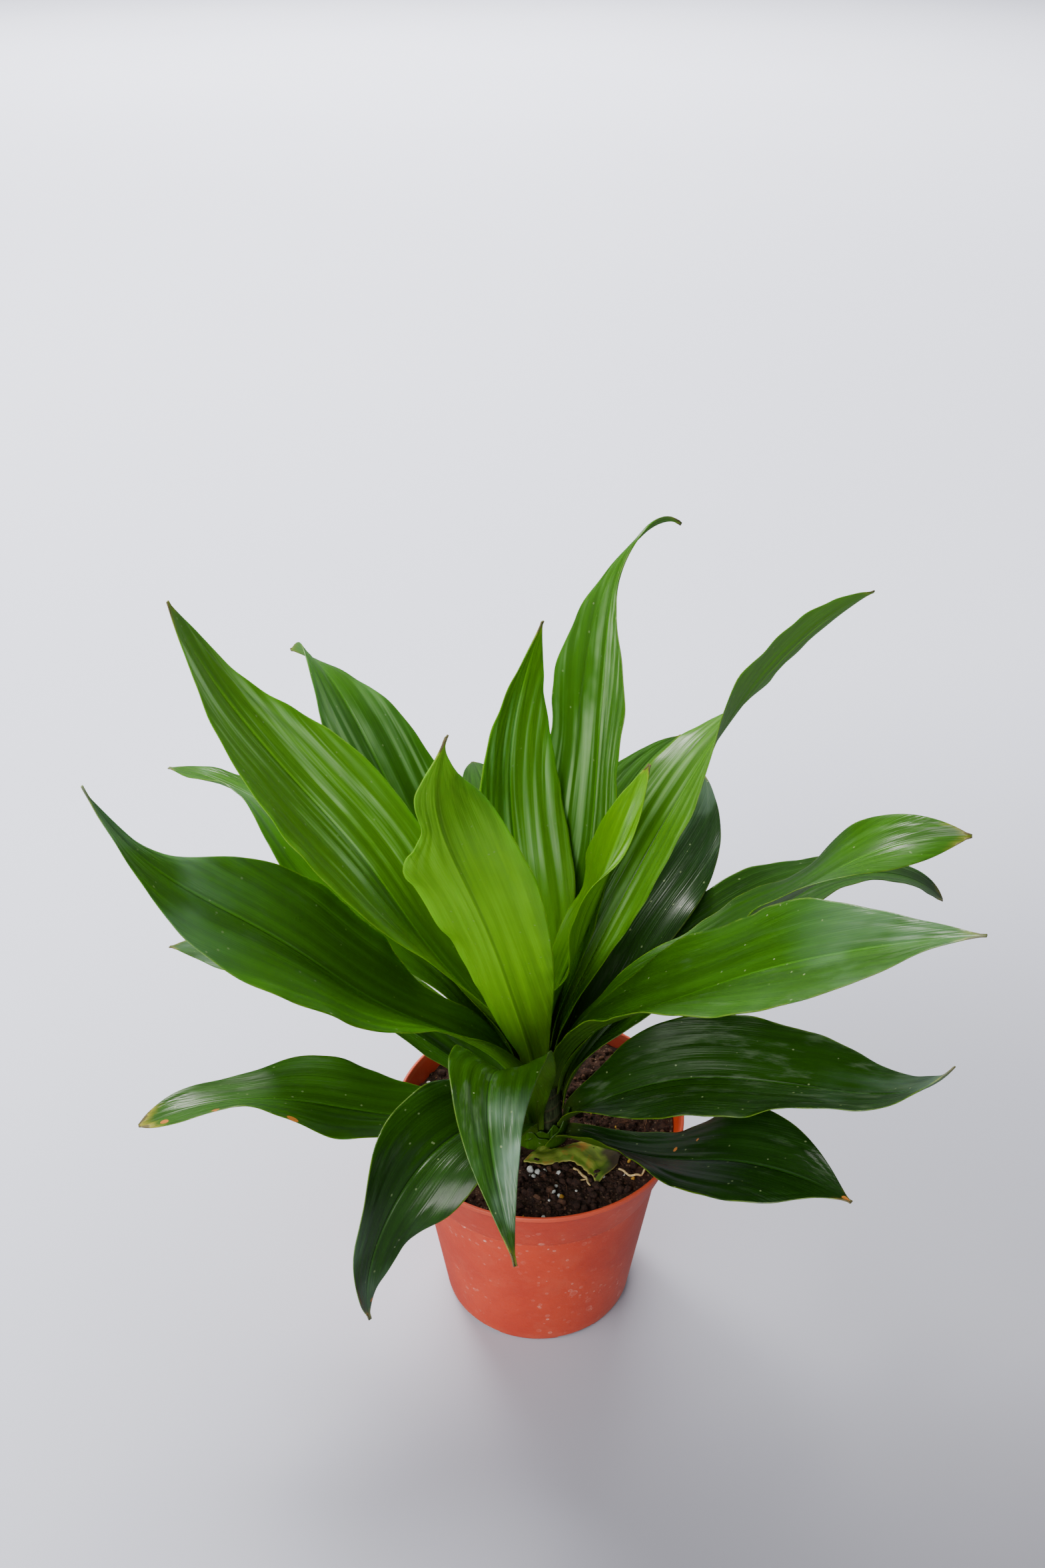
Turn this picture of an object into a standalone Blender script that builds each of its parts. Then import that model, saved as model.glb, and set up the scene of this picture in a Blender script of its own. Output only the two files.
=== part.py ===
"""Potted dracaena: a leafy rosette on a short cane, in soil, in a moulded nursery pot.

Metres, +Z up. The origin is on the pot's axis, on the surface that the pot stands on.
Headings are in degrees about the cane: 0 is right (+X), 90 is back (+Y), 270 is front.
"""

import math
from typing import NamedTuple

import bpy
import bmesh
import numpy as np
from mathutils import noise

# Clearance between pieces that touch
GAP = 0.0003

# The pot
RIM_RADIUS = 0.065
POT_HEIGHT = 0.103
CREASE_HEIGHT = 0.0755
CREASE_RADIUS = 0.0545
FOOT_RADIUS = 0.0438
WALL = 0.0014
FLOOR_TOP = 0.003
RECESS = 0.0015
LIP = 0.0016
POT_STEPS = 56
DRAIN_COUNT = 6
DRAIN_RADIUS = 0.004
DRAIN_RING = 0.026
NOTCH_COUNT = 6
NOTCH_FIRST = 293
NOTCH_WIDTH = 0.018
NOTCH_HEIGHT = 0.0014

# The soil
SOIL_STEPS = 48
SOIL_CENTRE = 0.0905
SOIL_EDGE = 0.0955
SOIL_RINGS = (0.0165, 0.022, 0.028, 0.034, 0.040, 0.046, 0.052, 0.057)
SOIL_LUMPINESS = 0.0006
CANE_BARE = 0.016
SLOPE_RUN = 0.030
# Each swelling of the soil: (x, y, rise, spread)
SWELLINGS = ((0.049, 0.024, 0.0065, 0.012), (-0.045, 0.028, -0.0025, 0.010))
GRAIN_COUNT = 34
GRAIN_RADIUS = 0.0017
GRAIN_SEED = 7
GRAIN_TURN = 137.5
GRAIN_BAND = (0.024, 0.055)

# The cane: (height, radius) up to its growing point
CANE_FOOT = 0.062
CANE = (
    (0.080, 0.0115),
    (0.093, 0.0110),
    (0.105, 0.0100),
    (0.120, 0.0083),
    (0.130, 0.0064),
    (0.140, 0.0044),
    (0.150, 0.0024),
    (0.158, 0.0016),
)
CANE_STEPS = 48
SCAR_PITCH = 0.006
SCAR_DEPTH = 0.0003
SCAR_WIDTH = 0.0012

# The leaves
BLADE = 0.0007
BLADE_STATIONS = 19
BLADE_HALF_STRIPS = 3
BASE_SHARE = 0.25
TIP_HALF_WIDTH = 0.0008
SHEATH_CLIMB = 80
SHEATH_LENGTH = 0.005
CLASP_LENGTH = 0.008
SHEATH_GROWTH = 0.25
LOWEST_SHEATH = 0.092
ROLL_ONSET = 0.025
CUP = (20, 10, 4, 2)
RIPPLE = 0.0008
RIPPLE_WAVES = 3.5
NICK_SPREAD = 0.09


class Leaf(NamedTuple):
    """One strap leaf. Angles run from base to tip at even steps, in degrees.

    height is where the base clasps the cane. climb is how steeply the midrib rises, and a
    negative one droops. drift is how far the heading has turned at half length and at the
    tip. roll is the twist about the midrib. widest is the share of the length where the
    blade is widest. A point under 1 is a blunt tip. fold is each half blade's angle up from
    flat, along the crease of the midrib. nicks are places where an edge draws in: the share
    of the length, the side (1 is towards growing headings) and the depth.
    """

    name: str
    height: float
    length: float
    width: float
    heading: float
    climb: tuple
    drift: tuple = (0, 0)
    roll: tuple = (0, 0)
    widest: float = 0.5
    point: float = 0.95
    fold: tuple = (30, 20, 12, 8)
    nicks: tuple = ()


LEAVES = (
    Leaf(
        "leaf_front_right_low",
        height=0.091,
        length=0.165,
        width=0.046,
        heading=322,
        climb=(10, 22, 36, 26, 8),
        drift=(-8, -12),
        roll=(-15, -20, 10, 20, 10),
        widest=0.66,
        point=1.15,
    ),
    Leaf(
        "leaf_left_low",
        height=0.092,
        length=0.170,
        width=0.043,
        heading=187,
        climb=(10, 12, 22, 4, -20),
        drift=(2, 6),
        roll=(0, 5, -15, 20, -15),
        widest=0.57,
        point=0.72,
        nicks=((0.62, 1, 0.0030),),
    ),
    Leaf(
        "leaf_front_left_drooping",
        height=0.094,
        length=0.165,
        width=0.050,
        heading=237,
        climb=(52, 38, 0, -52, -104),
        drift=(-4, -1),
        roll=(-15, -10, -20, -75, -70),
        widest=0.40,
        point=1.20,
    ),
    Leaf(
        "leaf_right_lower",
        height=0.095,
        length=0.205,
        width=0.055,
        heading=343,
        climb=(46, 36, 20, 26, 68),
        drift=(-15, -31),
        roll=(15, 25, 15, 0, -5),
        widest=0.43,
        point=1.00,
    ),
    Leaf(
        "leaf_front_drooping",
        height=0.098,
        length=0.203,
        width=0.040,
        heading=254,
        climb=(64, 58, 42, -6, -58),
        drift=(4, 39),
        roll=(0, 0, 0, -12, -2),
        widest=0.44,
        point=1.10,
    ),
    Leaf(
        "leaf_back_right_low",
        height=0.100,
        length=0.215,
        width=0.040,
        heading=78,
        climb=(64, 55, 32, 10, -10),
        drift=(-13, -22),
    ),
    Leaf(
        "leaf_left_lower",
        height=0.101,
        length=0.187,
        width=0.053,
        heading=168,
        climb=(30, 32, 20, 0, -18),
        drift=(-7, -13),
        roll=(5, 0, 20, 5, 0),
        widest=0.49,
    ),
    Leaf(
        "leaf_back_low",
        height=0.105,
        length=0.200,
        width=0.038,
        heading=104,
        climb=(76, 58, 30, 2, -24),
        drift=(-3, -5),
    ),
    Leaf(
        "leaf_right_long",
        height=0.105,
        length=0.245,
        width=0.042,
        heading=11,
        climb=(72, 40, 20, -12, -50),
        drift=(13, 14),
        roll=(-10, 10, 0, -10, 40),
        widest=0.48,
        point=0.70,
    ),
    Leaf(
        "leaf_left_long",
        height=0.109,
        length=0.255,
        width=0.049,
        heading=157,
        climb=(78, 45, 24, 4, -18),
        drift=(-13, -19),
        roll=(-20, -15, -40, 30, -10),
        widest=0.51,
        point=0.92,
    ),
    Leaf(
        "leaf_back_right",
        height=0.112,
        length=0.187,
        width=0.053,
        heading=45,
        climb=(72, 58, 30, 10, -6),
        drift=(3, 37),
        roll=(30, 30, 25, 20, 10),
        widest=0.52,
        point=1.25,
    ),
    Leaf(
        "leaf_front_left",
        height=0.115,
        length=0.255,
        width=0.058,
        heading=209,
        climb=(70, 40, 50, 42, 72),
        drift=(-11, -26),
        roll=(10, 5, -20, -35, 0),
        widest=0.54,
        point=1.35,
        nicks=((0.83, -1, 0.0050),),
    ),
    Leaf(
        "leaf_right_middle",
        height=0.116,
        length=0.223,
        width=0.047,
        heading=0,
        climb=(72, 48, 42, 42, 8),
        drift=(-9, -15),
        roll=(20, 0, -15, -15, 50),
        widest=0.70,
        point=0.93,
    ),
    Leaf(
        "leaf_back_left",
        height=0.119,
        length=0.235,
        width=0.051,
        heading=144,
        climb=(78, 56, 56, 54, 36, -28),
        drift=(-5, -22),
        roll=(-5, -25, 5, 0, 85),
        point=0.93,
    ),
    Leaf(
        "leaf_front_right",
        height=0.121,
        length=0.245,
        width=0.058,
        heading=328,
        climb=(78, 44, 44, 36, 26),
        drift=(-12, 0),
        roll=(0, 0, 15, 30, 0),
        point=1.05,
        fold=(20, 22, 10, 8),
    ),
    Leaf(
        "leaf_front_tall",
        height=0.125,
        length=0.280,
        width=0.047,
        heading=257,
        climb=(66, 65, 68, 64, 58, 55, 53),
        drift=(-15, 32),
        roll=(28, 18, 14, 15, 23, 37, 36),
        widest=0.55,
        point=1.30,
        fold=(15, 8, 8, 8),
        nicks=((0.74, -1, 0.0095),),
    ),
    Leaf(
        "leaf_left_upper",
        height=0.129,
        length=0.257,
        width=0.058,
        heading=174,
        climb=(46, 54, 62, 54, 58, 72),
        drift=(3, -3),
        roll=(0, -5, -25, -20, -5),
        widest=0.57,
        point=0.94,
        nicks=((0.80, -1, 0.0050),),
    ),
    Leaf(
        "leaf_right_upper",
        height=0.134,
        length=0.267,
        width=0.046,
        heading=24,
        climb=(66, 58, 48, 26, -2),
        drift=(15, 17),
        roll=(0, 5, -20, -75, -70),
        widest=0.49,
        point=1.03,
    ),
    Leaf(
        "leaf_upright_right",
        height=0.139,
        length=0.260,
        width=0.052,
        heading=47,
        climb=(72, 70, 84, 86, 72, -40),
        roll=(0, 0, -15, -20, -90),
        widest=0.51,
        point=1.30,
        nicks=((0.81, -1, 0.0090),),
    ),
    Leaf(
        "leaf_upright_back",
        height=0.144,
        length=0.200,
        width=0.047,
        heading=110,
        climb=(84, 74, 82, 102, 112),
        drift=(14, 28),
        roll=(-10, -5, 0, -5, -5),
        widest=0.41,
        point=0.96,
        fold=(30, 22, 15, 10),
    ),
    Leaf(
        "leaf_newest",
        height=0.150,
        length=0.146,
        width=0.027,
        heading=350,
        climb=(70, 72, 74, 74, 76),
        drift=(-10, -8),
        roll=(15, 55, 10, 45, 60),
        widest=0.49,
        point=0.86,
        fold=(60, 40, 25, 15),
    ),
)

# The torn leaf's two edges where it lies on the soil, from the cane to its ragged end
TORN_EDGES = (
    ((0.0000, -0.0124), (0.0046, -0.0115)),
    ((-0.0045, -0.0180), (0.0042, -0.0142)),
    ((-0.0070, -0.0225), (0.0052, -0.0145)),
    ((-0.0030, -0.0245), (0.0065, -0.0140)),
    ((0.0040, -0.0250), (0.0085, -0.0130)),
    ((0.0120, -0.0230), (0.0125, -0.0120)),
    ((0.0165, -0.0265), (0.0180, -0.0115)),
    ((0.0210, -0.0325), (0.0235, -0.0125)),
    ((0.0240, -0.0390), (0.0280, -0.0160)),
    ((0.0285, -0.0340), (0.0330, -0.0180)),
    ((0.0335, -0.0285), (0.0360, -0.0210)),
)
TORN_LIFT = 0.0014
TORN_ARCH = 0.0010

# Colours as linear values, then roughness
POT_LOOK = ((0.53, 0.13, 0.06), 0.45)
SOIL_LOOK = ((0.035, 0.022, 0.015), 0.95)
CANE_LOOK = ((0.20, 0.22, 0.10), 0.7)
OLD_LEAF_LOOK = ((0.020, 0.075, 0.012), 0.35)
YOUNG_LEAF_LOOK = ((0.16, 0.32, 0.02), 0.35)
TORN_LEAF_LOOK = ((0.13, 0.24, 0.03), 0.5)


def clear_scene():
    for obj in list(bpy.data.objects):
        bpy.data.objects.remove(obj, do_unlink=True)


def collection(name):
    made = bpy.data.collections.new(name)
    bpy.context.scene.collection.children.link(made)
    return made


def material(name, look):
    colour, roughness = look
    made = bpy.data.materials.new(name)
    made.use_nodes = True
    shader = made.node_tree.nodes["Principled BSDF"]
    shader.inputs["Base Color"].default_value = (*colour, 1)
    shader.inputs["Roughness"].default_value = roughness
    shader.inputs["Metallic"].default_value = 0
    return made


def add(name, mesh, look, where):
    """An object of its own, with its own material, in a collection."""
    obj = bpy.data.objects.new(name, mesh)
    obj.data.materials.append(material(name, look))
    where.objects.link(obj)
    return obj


def turned(name, profile, steps, look, where):
    """A profile of (radius, height) points, running down its outer side, turned about Z."""
    mesh = bpy.data.meshes.new(name)
    points = [(radius, 0, height) for radius, height in profile]
    mesh.from_pydata(points, [(k, k + 1) for k in range(len(points) - 1)], [])
    obj = add(name, mesh, look, where)
    screw = obj.modifiers.new("turn", "SCREW")
    screw.axis = "Z"
    screw.angle = math.tau
    screw.steps = steps
    screw.render_steps = steps
    screw.use_merge_vertices = True
    screw.merge_threshold = 1e-5
    return obj


def applied(obj):
    """Replaces the object's mesh by what its modifiers make of it."""
    graph = bpy.context.evaluated_depsgraph_get()
    mesh = bpy.data.meshes.new_from_object(obj.evaluated_get(graph))
    obj.modifiers.clear()
    obj.data = mesh
    return obj


def cutter(name, mesh, where):
    obj = bpy.data.objects.new(name, mesh)
    obj.hide_render = True
    obj.display_type = "WIRE"
    where.objects.link(obj)
    return obj


def cut(obj, tool):
    boolean = obj.modifiers.new("cut " + tool.name, "BOOLEAN")
    boolean.operation = "DIFFERENCE"
    boolean.object = tool


def on_ring(radius, heading):
    turn = math.radians(heading)
    return radius * math.cos(turn), radius * math.sin(turn)


def inner_radius(height):
    """The pot's inner wall, which the soil follows."""
    heights = (FLOOR_TOP, CREASE_HEIGHT, POT_HEIGHT)
    radii = (FOOT_RADIUS - WALL, CREASE_RADIUS - WALL, RIM_RADIUS - LIP)
    return float(np.interp(height, heights, radii))


def pot(parts, cutters):
    step = 0.0007
    collar_foot = CREASE_RADIUS + step
    ring_inside = FOOT_RADIUS - 0.007
    pad = 0.0125
    profile = (
        (0, FLOOR_TOP),
        (inner_radius(FLOOR_TOP) - step, FLOOR_TOP),
        (inner_radius(FLOOR_TOP + step), FLOOR_TOP + step),
        (inner_radius(CREASE_HEIGHT), CREASE_HEIGHT),
        (RIM_RADIUS - LIP, POT_HEIGHT - 0.0004),
        (RIM_RADIUS - LIP + 0.0004, POT_HEIGHT),
        (RIM_RADIUS - 0.0005, POT_HEIGHT),
        (RIM_RADIUS, POT_HEIGHT - 0.0006),
        (RIM_RADIUS, POT_HEIGHT - 0.0019),
        (RIM_RADIUS - 0.0005, POT_HEIGHT - 0.0023),
        (collar_foot, CREASE_HEIGHT + step),
        (CREASE_RADIUS + 0.0001, CREASE_HEIGHT),
        (FOOT_RADIUS, 0.002),
        (FOOT_RADIUS - 0.0004, 0.0007),
        (FOOT_RADIUS - 0.0012, 0),
        (ring_inside, 0),
        (ring_inside - RECESS, RECESS),
        (pad + RECESS, RECESS),
        (pad, 0),
        (0, 0),
    )
    body = turned("pot", profile, POT_STEPS, POT_LOOK, parts)
    for k in range(DRAIN_COUNT):
        mesh = bpy.data.meshes.new("drain")
        shape = bmesh.new()
        bmesh.ops.create_cone(
            shape,
            cap_ends=True,
            segments=12,
            radius1=DRAIN_RADIUS,
            radius2=DRAIN_RADIUS,
            depth=FLOOR_TOP * 3,
        )
        shape.to_mesh(mesh)
        shape.free()
        tool = cutter(f"drain_{k + 1}", mesh, cutters)
        tool.location = (*on_ring(DRAIN_RING, 360 / DRAIN_COUNT * k), FLOOR_TOP / 2)
        cut(body, tool)
    for k in range(NOTCH_COUNT):
        heading = NOTCH_FIRST + 360 / NOTCH_COUNT * k
        mesh = bpy.data.meshes.new("notch")
        shape = bmesh.new()
        bmesh.ops.create_cube(shape, size=1)
        reach = FOOT_RADIUS - ring_inside + 0.006
        bmesh.ops.scale(shape, vec=(reach, NOTCH_WIDTH, NOTCH_HEIGHT * 2), verts=shape.verts)
        shape.to_mesh(mesh)
        shape.free()
        tool = cutter(f"notch_{k + 1}", mesh, cutters)
        tool.location = (*on_ring((FOOT_RADIUS + ring_inside) / 2, heading), 0)
        tool.rotation_euler = (0, 0, math.radians(heading))
        cut(body, tool)


def soil_top(x, y):
    """Height of the soil: level by the cane, higher out to the wall, with a mound and a dip."""
    radius = math.hypot(x, y)
    slope = min(max((radius - CANE_BARE) / SLOPE_RUN, 0), 1)
    height = SOIL_CENTRE + (SOIL_EDGE - SOIL_CENTRE) * slope
    for place_x, place_y, rise, spread in SWELLINGS:
        away = (x - place_x) ** 2 + (y - place_y) ** 2
        height += rise * math.exp(-away / (2 * spread**2))
    lumps = noise.noise((x * 160, y * 160, 3.0)) + 0.5 * noise.noise((x * 390, y * 390, 9.0))
    return height + SOIL_LUMPINESS * lumps * slope


def soil(parts, cutters):
    hole = CANE[0][1] + GAP
    below = CANE_FOOT - GAP
    crease = CREASE_HEIGHT
    bottom = FLOOR_TOP + GAP
    corner = 0.0011
    profile = (
        (0, below),
        (hole, below),
        (hole, SOIL_CENTRE),
        *((ring, SOIL_EDGE) for ring in SOIL_RINGS),
        (inner_radius(SOIL_EDGE) - GAP, SOIL_EDGE),
        (inner_radius(crease) - GAP, crease),
        (inner_radius(bottom + corner) - GAP, bottom + corner),
        (inner_radius(bottom) - GAP - corner, bottom),
        (0, bottom),
    )
    body = applied(turned("soil", profile, SOIL_STEPS, SOIL_LOOK, parts))
    for vertex in body.data.vertices:
        x, y, z = vertex.co
        radius = math.hypot(x, y)
        if z < SOIL_CENTRE - GAP:
            continue
        height = soil_top(x, y)
        vertex.co.z = height
        if radius > SOIL_RINGS[-1] + GAP:
            out = (inner_radius(height) - GAP) / radius
            vertex.co.x = x * out
            vertex.co.y = y * out
    grains = bpy.data.collections.new("grains")
    cutters.children.link(grains)
    rng = np.random.default_rng(GRAIN_SEED)
    for k in range(GRAIN_COUNT):
        share = math.sqrt((k + 0.5) / GRAIN_COUNT)
        radius = GRAIN_BAND[0] + (GRAIN_BAND[1] - GRAIN_BAND[0]) * share
        x, y = on_ring(radius, GRAIN_TURN * k + rng.uniform(-8, 8))
        size = GRAIN_RADIUS * rng.uniform(0.7, 1.2)
        mesh = bpy.data.meshes.new("grain")
        shape = bmesh.new()
        bmesh.ops.create_icosphere(shape, subdivisions=1, radius=size)
        shape.to_mesh(mesh)
        shape.free()
        grain = cutter(f"grain_{k + 1}", mesh, grains)
        grain.location = (x, y, soil_top(x, y) + size * 0.1)
        grain.rotation_euler = tuple(rng.uniform(0, math.tau, 3))
    union = body.modifiers.new("grains", "BOOLEAN")
    union.operation = "UNION"
    union.operand_type = "COLLECTION"
    union.collection = grains
    applied(body)
    for grain in list(grains.objects):
        bpy.data.objects.remove(grain, do_unlink=True)
    bpy.data.collections.remove(grains)


def cane_radius(height):
    return float(np.interp(height, [z for z, _ in CANE], [r for _, r in CANE]))


def cane(parts):
    """A stub of bare cane under the leaf bases, ringed by the scars of fallen leaves."""
    profile = [(0, CANE[-1][0])]
    profile += [(radius, height) for height, radius in reversed(CANE)]
    scar = CANE[0][0]
    while scar > CANE_FOOT + SCAR_PITCH:
        profile.append((CANE[0][1], scar - SCAR_PITCH + SCAR_WIDTH))
        profile.append((CANE[0][1] - SCAR_DEPTH, scar - SCAR_PITCH + SCAR_WIDTH / 2))
        profile.append((CANE[0][1], scar - SCAR_PITCH))
        scar -= SCAR_PITCH
    profile.append((CANE[0][1], CANE_FOOT))
    profile.append((0, CANE_FOOT))
    turned("cane", profile, CANE_STEPS, CANE_LOOK, parts)


def spline(keys, share):
    """A smooth curve through evenly spaced keys, read at shares from 0 to 1."""
    keys = np.asarray(keys, float)
    place = np.clip(share, 0, 1) * (len(keys) - 1)
    first = np.minimum(place.astype(int), len(keys) - 2)
    f = place - first
    padded = np.concatenate([[2 * keys[0] - keys[1]], keys, [2 * keys[-1] - keys[-2]]])
    a, b, c, d = (padded[first + k] for k in range(4))
    cubic = -a + 3 * b - 3 * c + d
    square = 2 * a - 5 * b + 4 * c - d
    return 0.5 * (2 * b + (c - a) * f + square * f**2 + cubic * f**3)


def half_width(leaf, share):
    grow = np.sin(np.clip(share / leaf.widest, 0, 1) * np.pi / 2) ** 1.5
    fall = np.cos(np.clip((share - leaf.widest) / (1 - leaf.widest), 0, 1) * np.pi / 2)
    outline = np.where(
        share < leaf.widest, BASE_SHARE + (1 - BASE_SHARE) * grow, np.abs(fall) ** leaf.point
    )
    return np.maximum(leaf.width / 2 * outline, TIP_HALF_WIDTH)


def nicked(leaf, share, half):
    """What is left of the half width on each side of the midrib, as two columns of shares."""
    kept = np.ones((len(share), 2))
    for place, side, depth in leaf.nicks:
        bite = depth * np.exp(-(((share - place) / NICK_SPREAD) ** 2))
        kept[:, int(side > 0)] -= np.minimum(bite / half, 0.8)
    return kept


def midrib(leaf, share):
    """Points on the midrib, and the heading there in radians and the climb in radians."""
    climb = spline(leaf.climb, share)
    sheath = max(0.004, SHEATH_LENGTH + SHEATH_GROWTH * (leaf.height - LOWEST_SHEATH))
    climb += (SHEATH_CLIMB - climb) * np.exp(-((share * leaf.length / sheath) ** 2))
    climb = np.radians(climb)
    heading = np.radians(leaf.heading + spline((0, *leaf.drift), share))
    along = np.stack(
        [np.cos(climb) * np.cos(heading), np.cos(climb) * np.sin(heading), np.sin(climb)], -1
    )
    steps = (along[1:] + along[:-1]) / 2 * np.diff(share)[:, None] * leaf.length
    seat = cane_radius(leaf.height) + GAP + BLADE / 2
    start = np.array([*on_ring(seat, leaf.heading), leaf.height])
    return start + np.concatenate([np.zeros((1, 3)), np.cumsum(steps, 0)]), along, heading


def blade(leaf, stations, half_strips):
    """Rows of points across the blade, from the clasping base to the tip."""
    fine = np.linspace(0, 1, 8 * stations + 1)
    points, along, heading = midrib(leaf, fine)
    share = np.linspace(0, 1, stations) ** 1.15
    centre = np.stack([np.interp(share, fine, points[:, k]) for k in range(3)], -1)
    along = np.stack([np.interp(share, fine, along[:, k]) for k in range(3)], -1)
    heading = np.interp(share, fine, heading)
    across = np.stack([-np.sin(heading), np.cos(heading), 0 * heading], -1)
    over = np.cross(along, across)
    run = share * leaf.length
    roll = np.radians(spline(leaf.roll, share)) * (1 - np.exp(-((run / ROLL_ONSET) ** 2)))
    turn, lean = np.cos(roll)[:, None], np.sin(roll)[:, None]
    across, over = across * turn + over * lean, over * turn - across * lean
    half = half_width(leaf, share)
    clasp = CLASP_LENGTH + SHEATH_GROWTH * (leaf.height - LOWEST_SHEATH)
    hold = np.exp(-((run / clasp) ** 2))
    seat = cane_radius(leaf.height) + GAP + BLADE / 2
    fold = np.radians(spline(leaf.fold, share)) * (1 - hold)
    cup = np.radians(spline(CUP, share)) * (1 - hold) + hold * np.minimum(half / seat, 2.2)
    angle = fold[:, None] + cup[:, None] * (np.arange(half_strips) + 0.5) / half_strips
    none = np.zeros((stations, 1))
    out = np.concatenate([none, np.cumsum(np.cos(angle), 1)], 1) * half[:, None] / half_strips
    up = np.concatenate([none, np.cumsum(np.sin(angle), 1)], 1) * half[:, None] / half_strips
    low, high = nicked(leaf, share, half).T[:, :, None]
    out = np.concatenate([-out[:, :0:-1] * low, out * high], 1)
    up = np.concatenate([up[:, :0:-1] * low, up * high], 1)
    edge = np.linspace(-1, 1, 2 * half_strips + 1)
    phase = np.radians(leaf.heading * 3) + (edge > 0) * 2.0
    swell = np.sin(np.pi * share)[:, None] * edge**2
    up = up + RIPPLE * swell * np.sin(math.tau * RIPPLE_WAVES * share[:, None] + phase)
    return centre[:, None] + across[:, None] * out[..., None] + over[:, None] * up[..., None]


def sheet(name, rows, look, where):
    """Lofts rows of points into an open sheet of triangles, and thickens it both ways."""
    count, width = rows.shape[:2]
    faces = []
    for i in range(count - 1):
        for j in range(width - 1):
            a, b = i * width + j, (i + 1) * width + j
            if j < width // 2:
                faces += [(a, b, b + 1), (a, b + 1, a + 1)]
            else:
                faces += [(a, b, a + 1), (b, b + 1, a + 1)]
    mesh = bpy.data.meshes.new(name)
    mesh.from_pydata(rows.reshape(-1, 3).tolist(), [], faces)
    mesh.flip_normals()
    mesh.shade_smooth()
    obj = add(name, mesh, look, where)
    solid = obj.modifiers.new("blade", "SOLIDIFY")
    solid.thickness = BLADE
    solid.offset = 0
    solid.use_even_offset = True
    return obj


def leaves(parts):
    heights = [leaf.height for leaf in LEAVES]
    for leaf in LEAVES:
        youth = ((leaf.height - min(heights)) / (max(heights) - min(heights))) ** 2
        colour = tuple(
            old + (young - old) * youth
            for old, young in zip(OLD_LEAF_LOOK[0], YOUNG_LEAF_LOOK[0])
        )
        rows = blade(leaf, BLADE_STATIONS, BLADE_HALF_STRIPS)
        sheet(leaf.name, rows, (colour, OLD_LEAF_LOOK[1]), parts)


def torn_leaf(parts):
    rows = []
    for front, back in TORN_EDGES:
        row = []
        for k in range(5):
            share = k / 4
            x = front[0] + (back[0] - front[0]) * share
            y = front[1] + (back[1] - front[1]) * share
            rise = TORN_LIFT + TORN_ARCH * math.sin(math.pi * share)
            row.append((x, y, soil_top(x, y) + rise))
        rows.append(row)
    sheet("leaf_torn", np.array(rows), TORN_LEAF_LOOK, parts)


def main():
    clear_scene()
    parts = collection("potted_dracaena")
    cutters = collection("cutters")
    cutters.hide_render = True
    pot(parts, cutters)
    soil(parts, cutters)
    cane(parts)
    leaves(parts)
    torn_leaf(parts)


if __name__ == "__main__":
    main()
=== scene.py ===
"""Dresses the packed potted dracaena: pleated leaves, potting soil with roots, and the pot.

Metres, +Z up, in the frame of the packed model. Headings are in degrees about the cane:
0 is right (+X), 90 is back (+Y), 270 is towards the camera.
"""

import math
from typing import NamedTuple

import bmesh
import bpy
import numpy as np
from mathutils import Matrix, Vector, noise


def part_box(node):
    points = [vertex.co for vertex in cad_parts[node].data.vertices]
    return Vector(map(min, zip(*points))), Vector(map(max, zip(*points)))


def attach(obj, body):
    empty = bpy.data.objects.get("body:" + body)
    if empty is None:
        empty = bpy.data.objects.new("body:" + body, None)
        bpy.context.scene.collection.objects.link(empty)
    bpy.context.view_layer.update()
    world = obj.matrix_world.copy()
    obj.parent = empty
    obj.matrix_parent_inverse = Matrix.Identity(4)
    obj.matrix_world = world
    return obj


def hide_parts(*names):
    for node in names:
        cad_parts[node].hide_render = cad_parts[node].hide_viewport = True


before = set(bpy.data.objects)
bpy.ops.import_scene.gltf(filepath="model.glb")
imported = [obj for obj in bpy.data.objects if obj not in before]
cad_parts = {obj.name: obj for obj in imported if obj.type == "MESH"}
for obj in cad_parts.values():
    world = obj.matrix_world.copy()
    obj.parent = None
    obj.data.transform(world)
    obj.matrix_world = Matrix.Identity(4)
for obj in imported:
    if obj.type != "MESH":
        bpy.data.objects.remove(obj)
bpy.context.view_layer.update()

bl_info = {
    "name": "Potted dracaena",
    "version": (1, 0, 0),
    "blender": (4, 5, 0),
    "location": "View3D > Sidebar > Dracaena",
    "description": "Dresses the potted dracaena's solids with leaves, soil, pot and stage",
    "category": "Add Mesh",
}

BODY = "root"
GAP = 0.0003

# The photo's frame and the camera that was fitted to the pot in it
PHOTO_SIZE = (1568, 2352)
CAMERA_PLACE = (-0.0145, -0.505, 0.588)
CAMERA_TILT = (58.17, 0.0, -0.8)
LENS = 0.035

# The pot, as its solid has it
POT_LOW, POT_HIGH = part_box("pot")
RIM_RADIUS = POT_HIGH[0]
POT_HEIGHT = POT_HIGH[2]
CREASE_HEIGHT = 0.0755
CREASE_RADIUS = 0.0545
FOOT_RADIUS = 0.0438
WALL = 0.0014
FLOOR_TOP = 0.003
RECESS = 0.0015
LIP = 0.0016
DRAIN_COUNT = 6
DRAIN_RADIUS = 0.004
DRAIN_RING = 0.026
NOTCH_COUNT = 6
NOTCH_FIRST = 293
NOTCH_WIDTH = 0.018
NOTCH_HEIGHT = 0.0014
POT_STEPS = 256

# The soil
SOIL_CENTRE = 0.0905
SOIL_EDGE = 0.0955
SOIL_LUMPINESS = 0.0006
CANE_BARE = 0.016
SLOPE_RUN = 0.030
# Each swelling of the soil: (x, y, rise, spread)
SWELLINGS = ((0.049, 0.024, 0.0065, 0.012), (-0.045, 0.028, -0.0025, 0.010))
SOIL_STEPS = 240
SOIL_RINGS = 64

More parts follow.
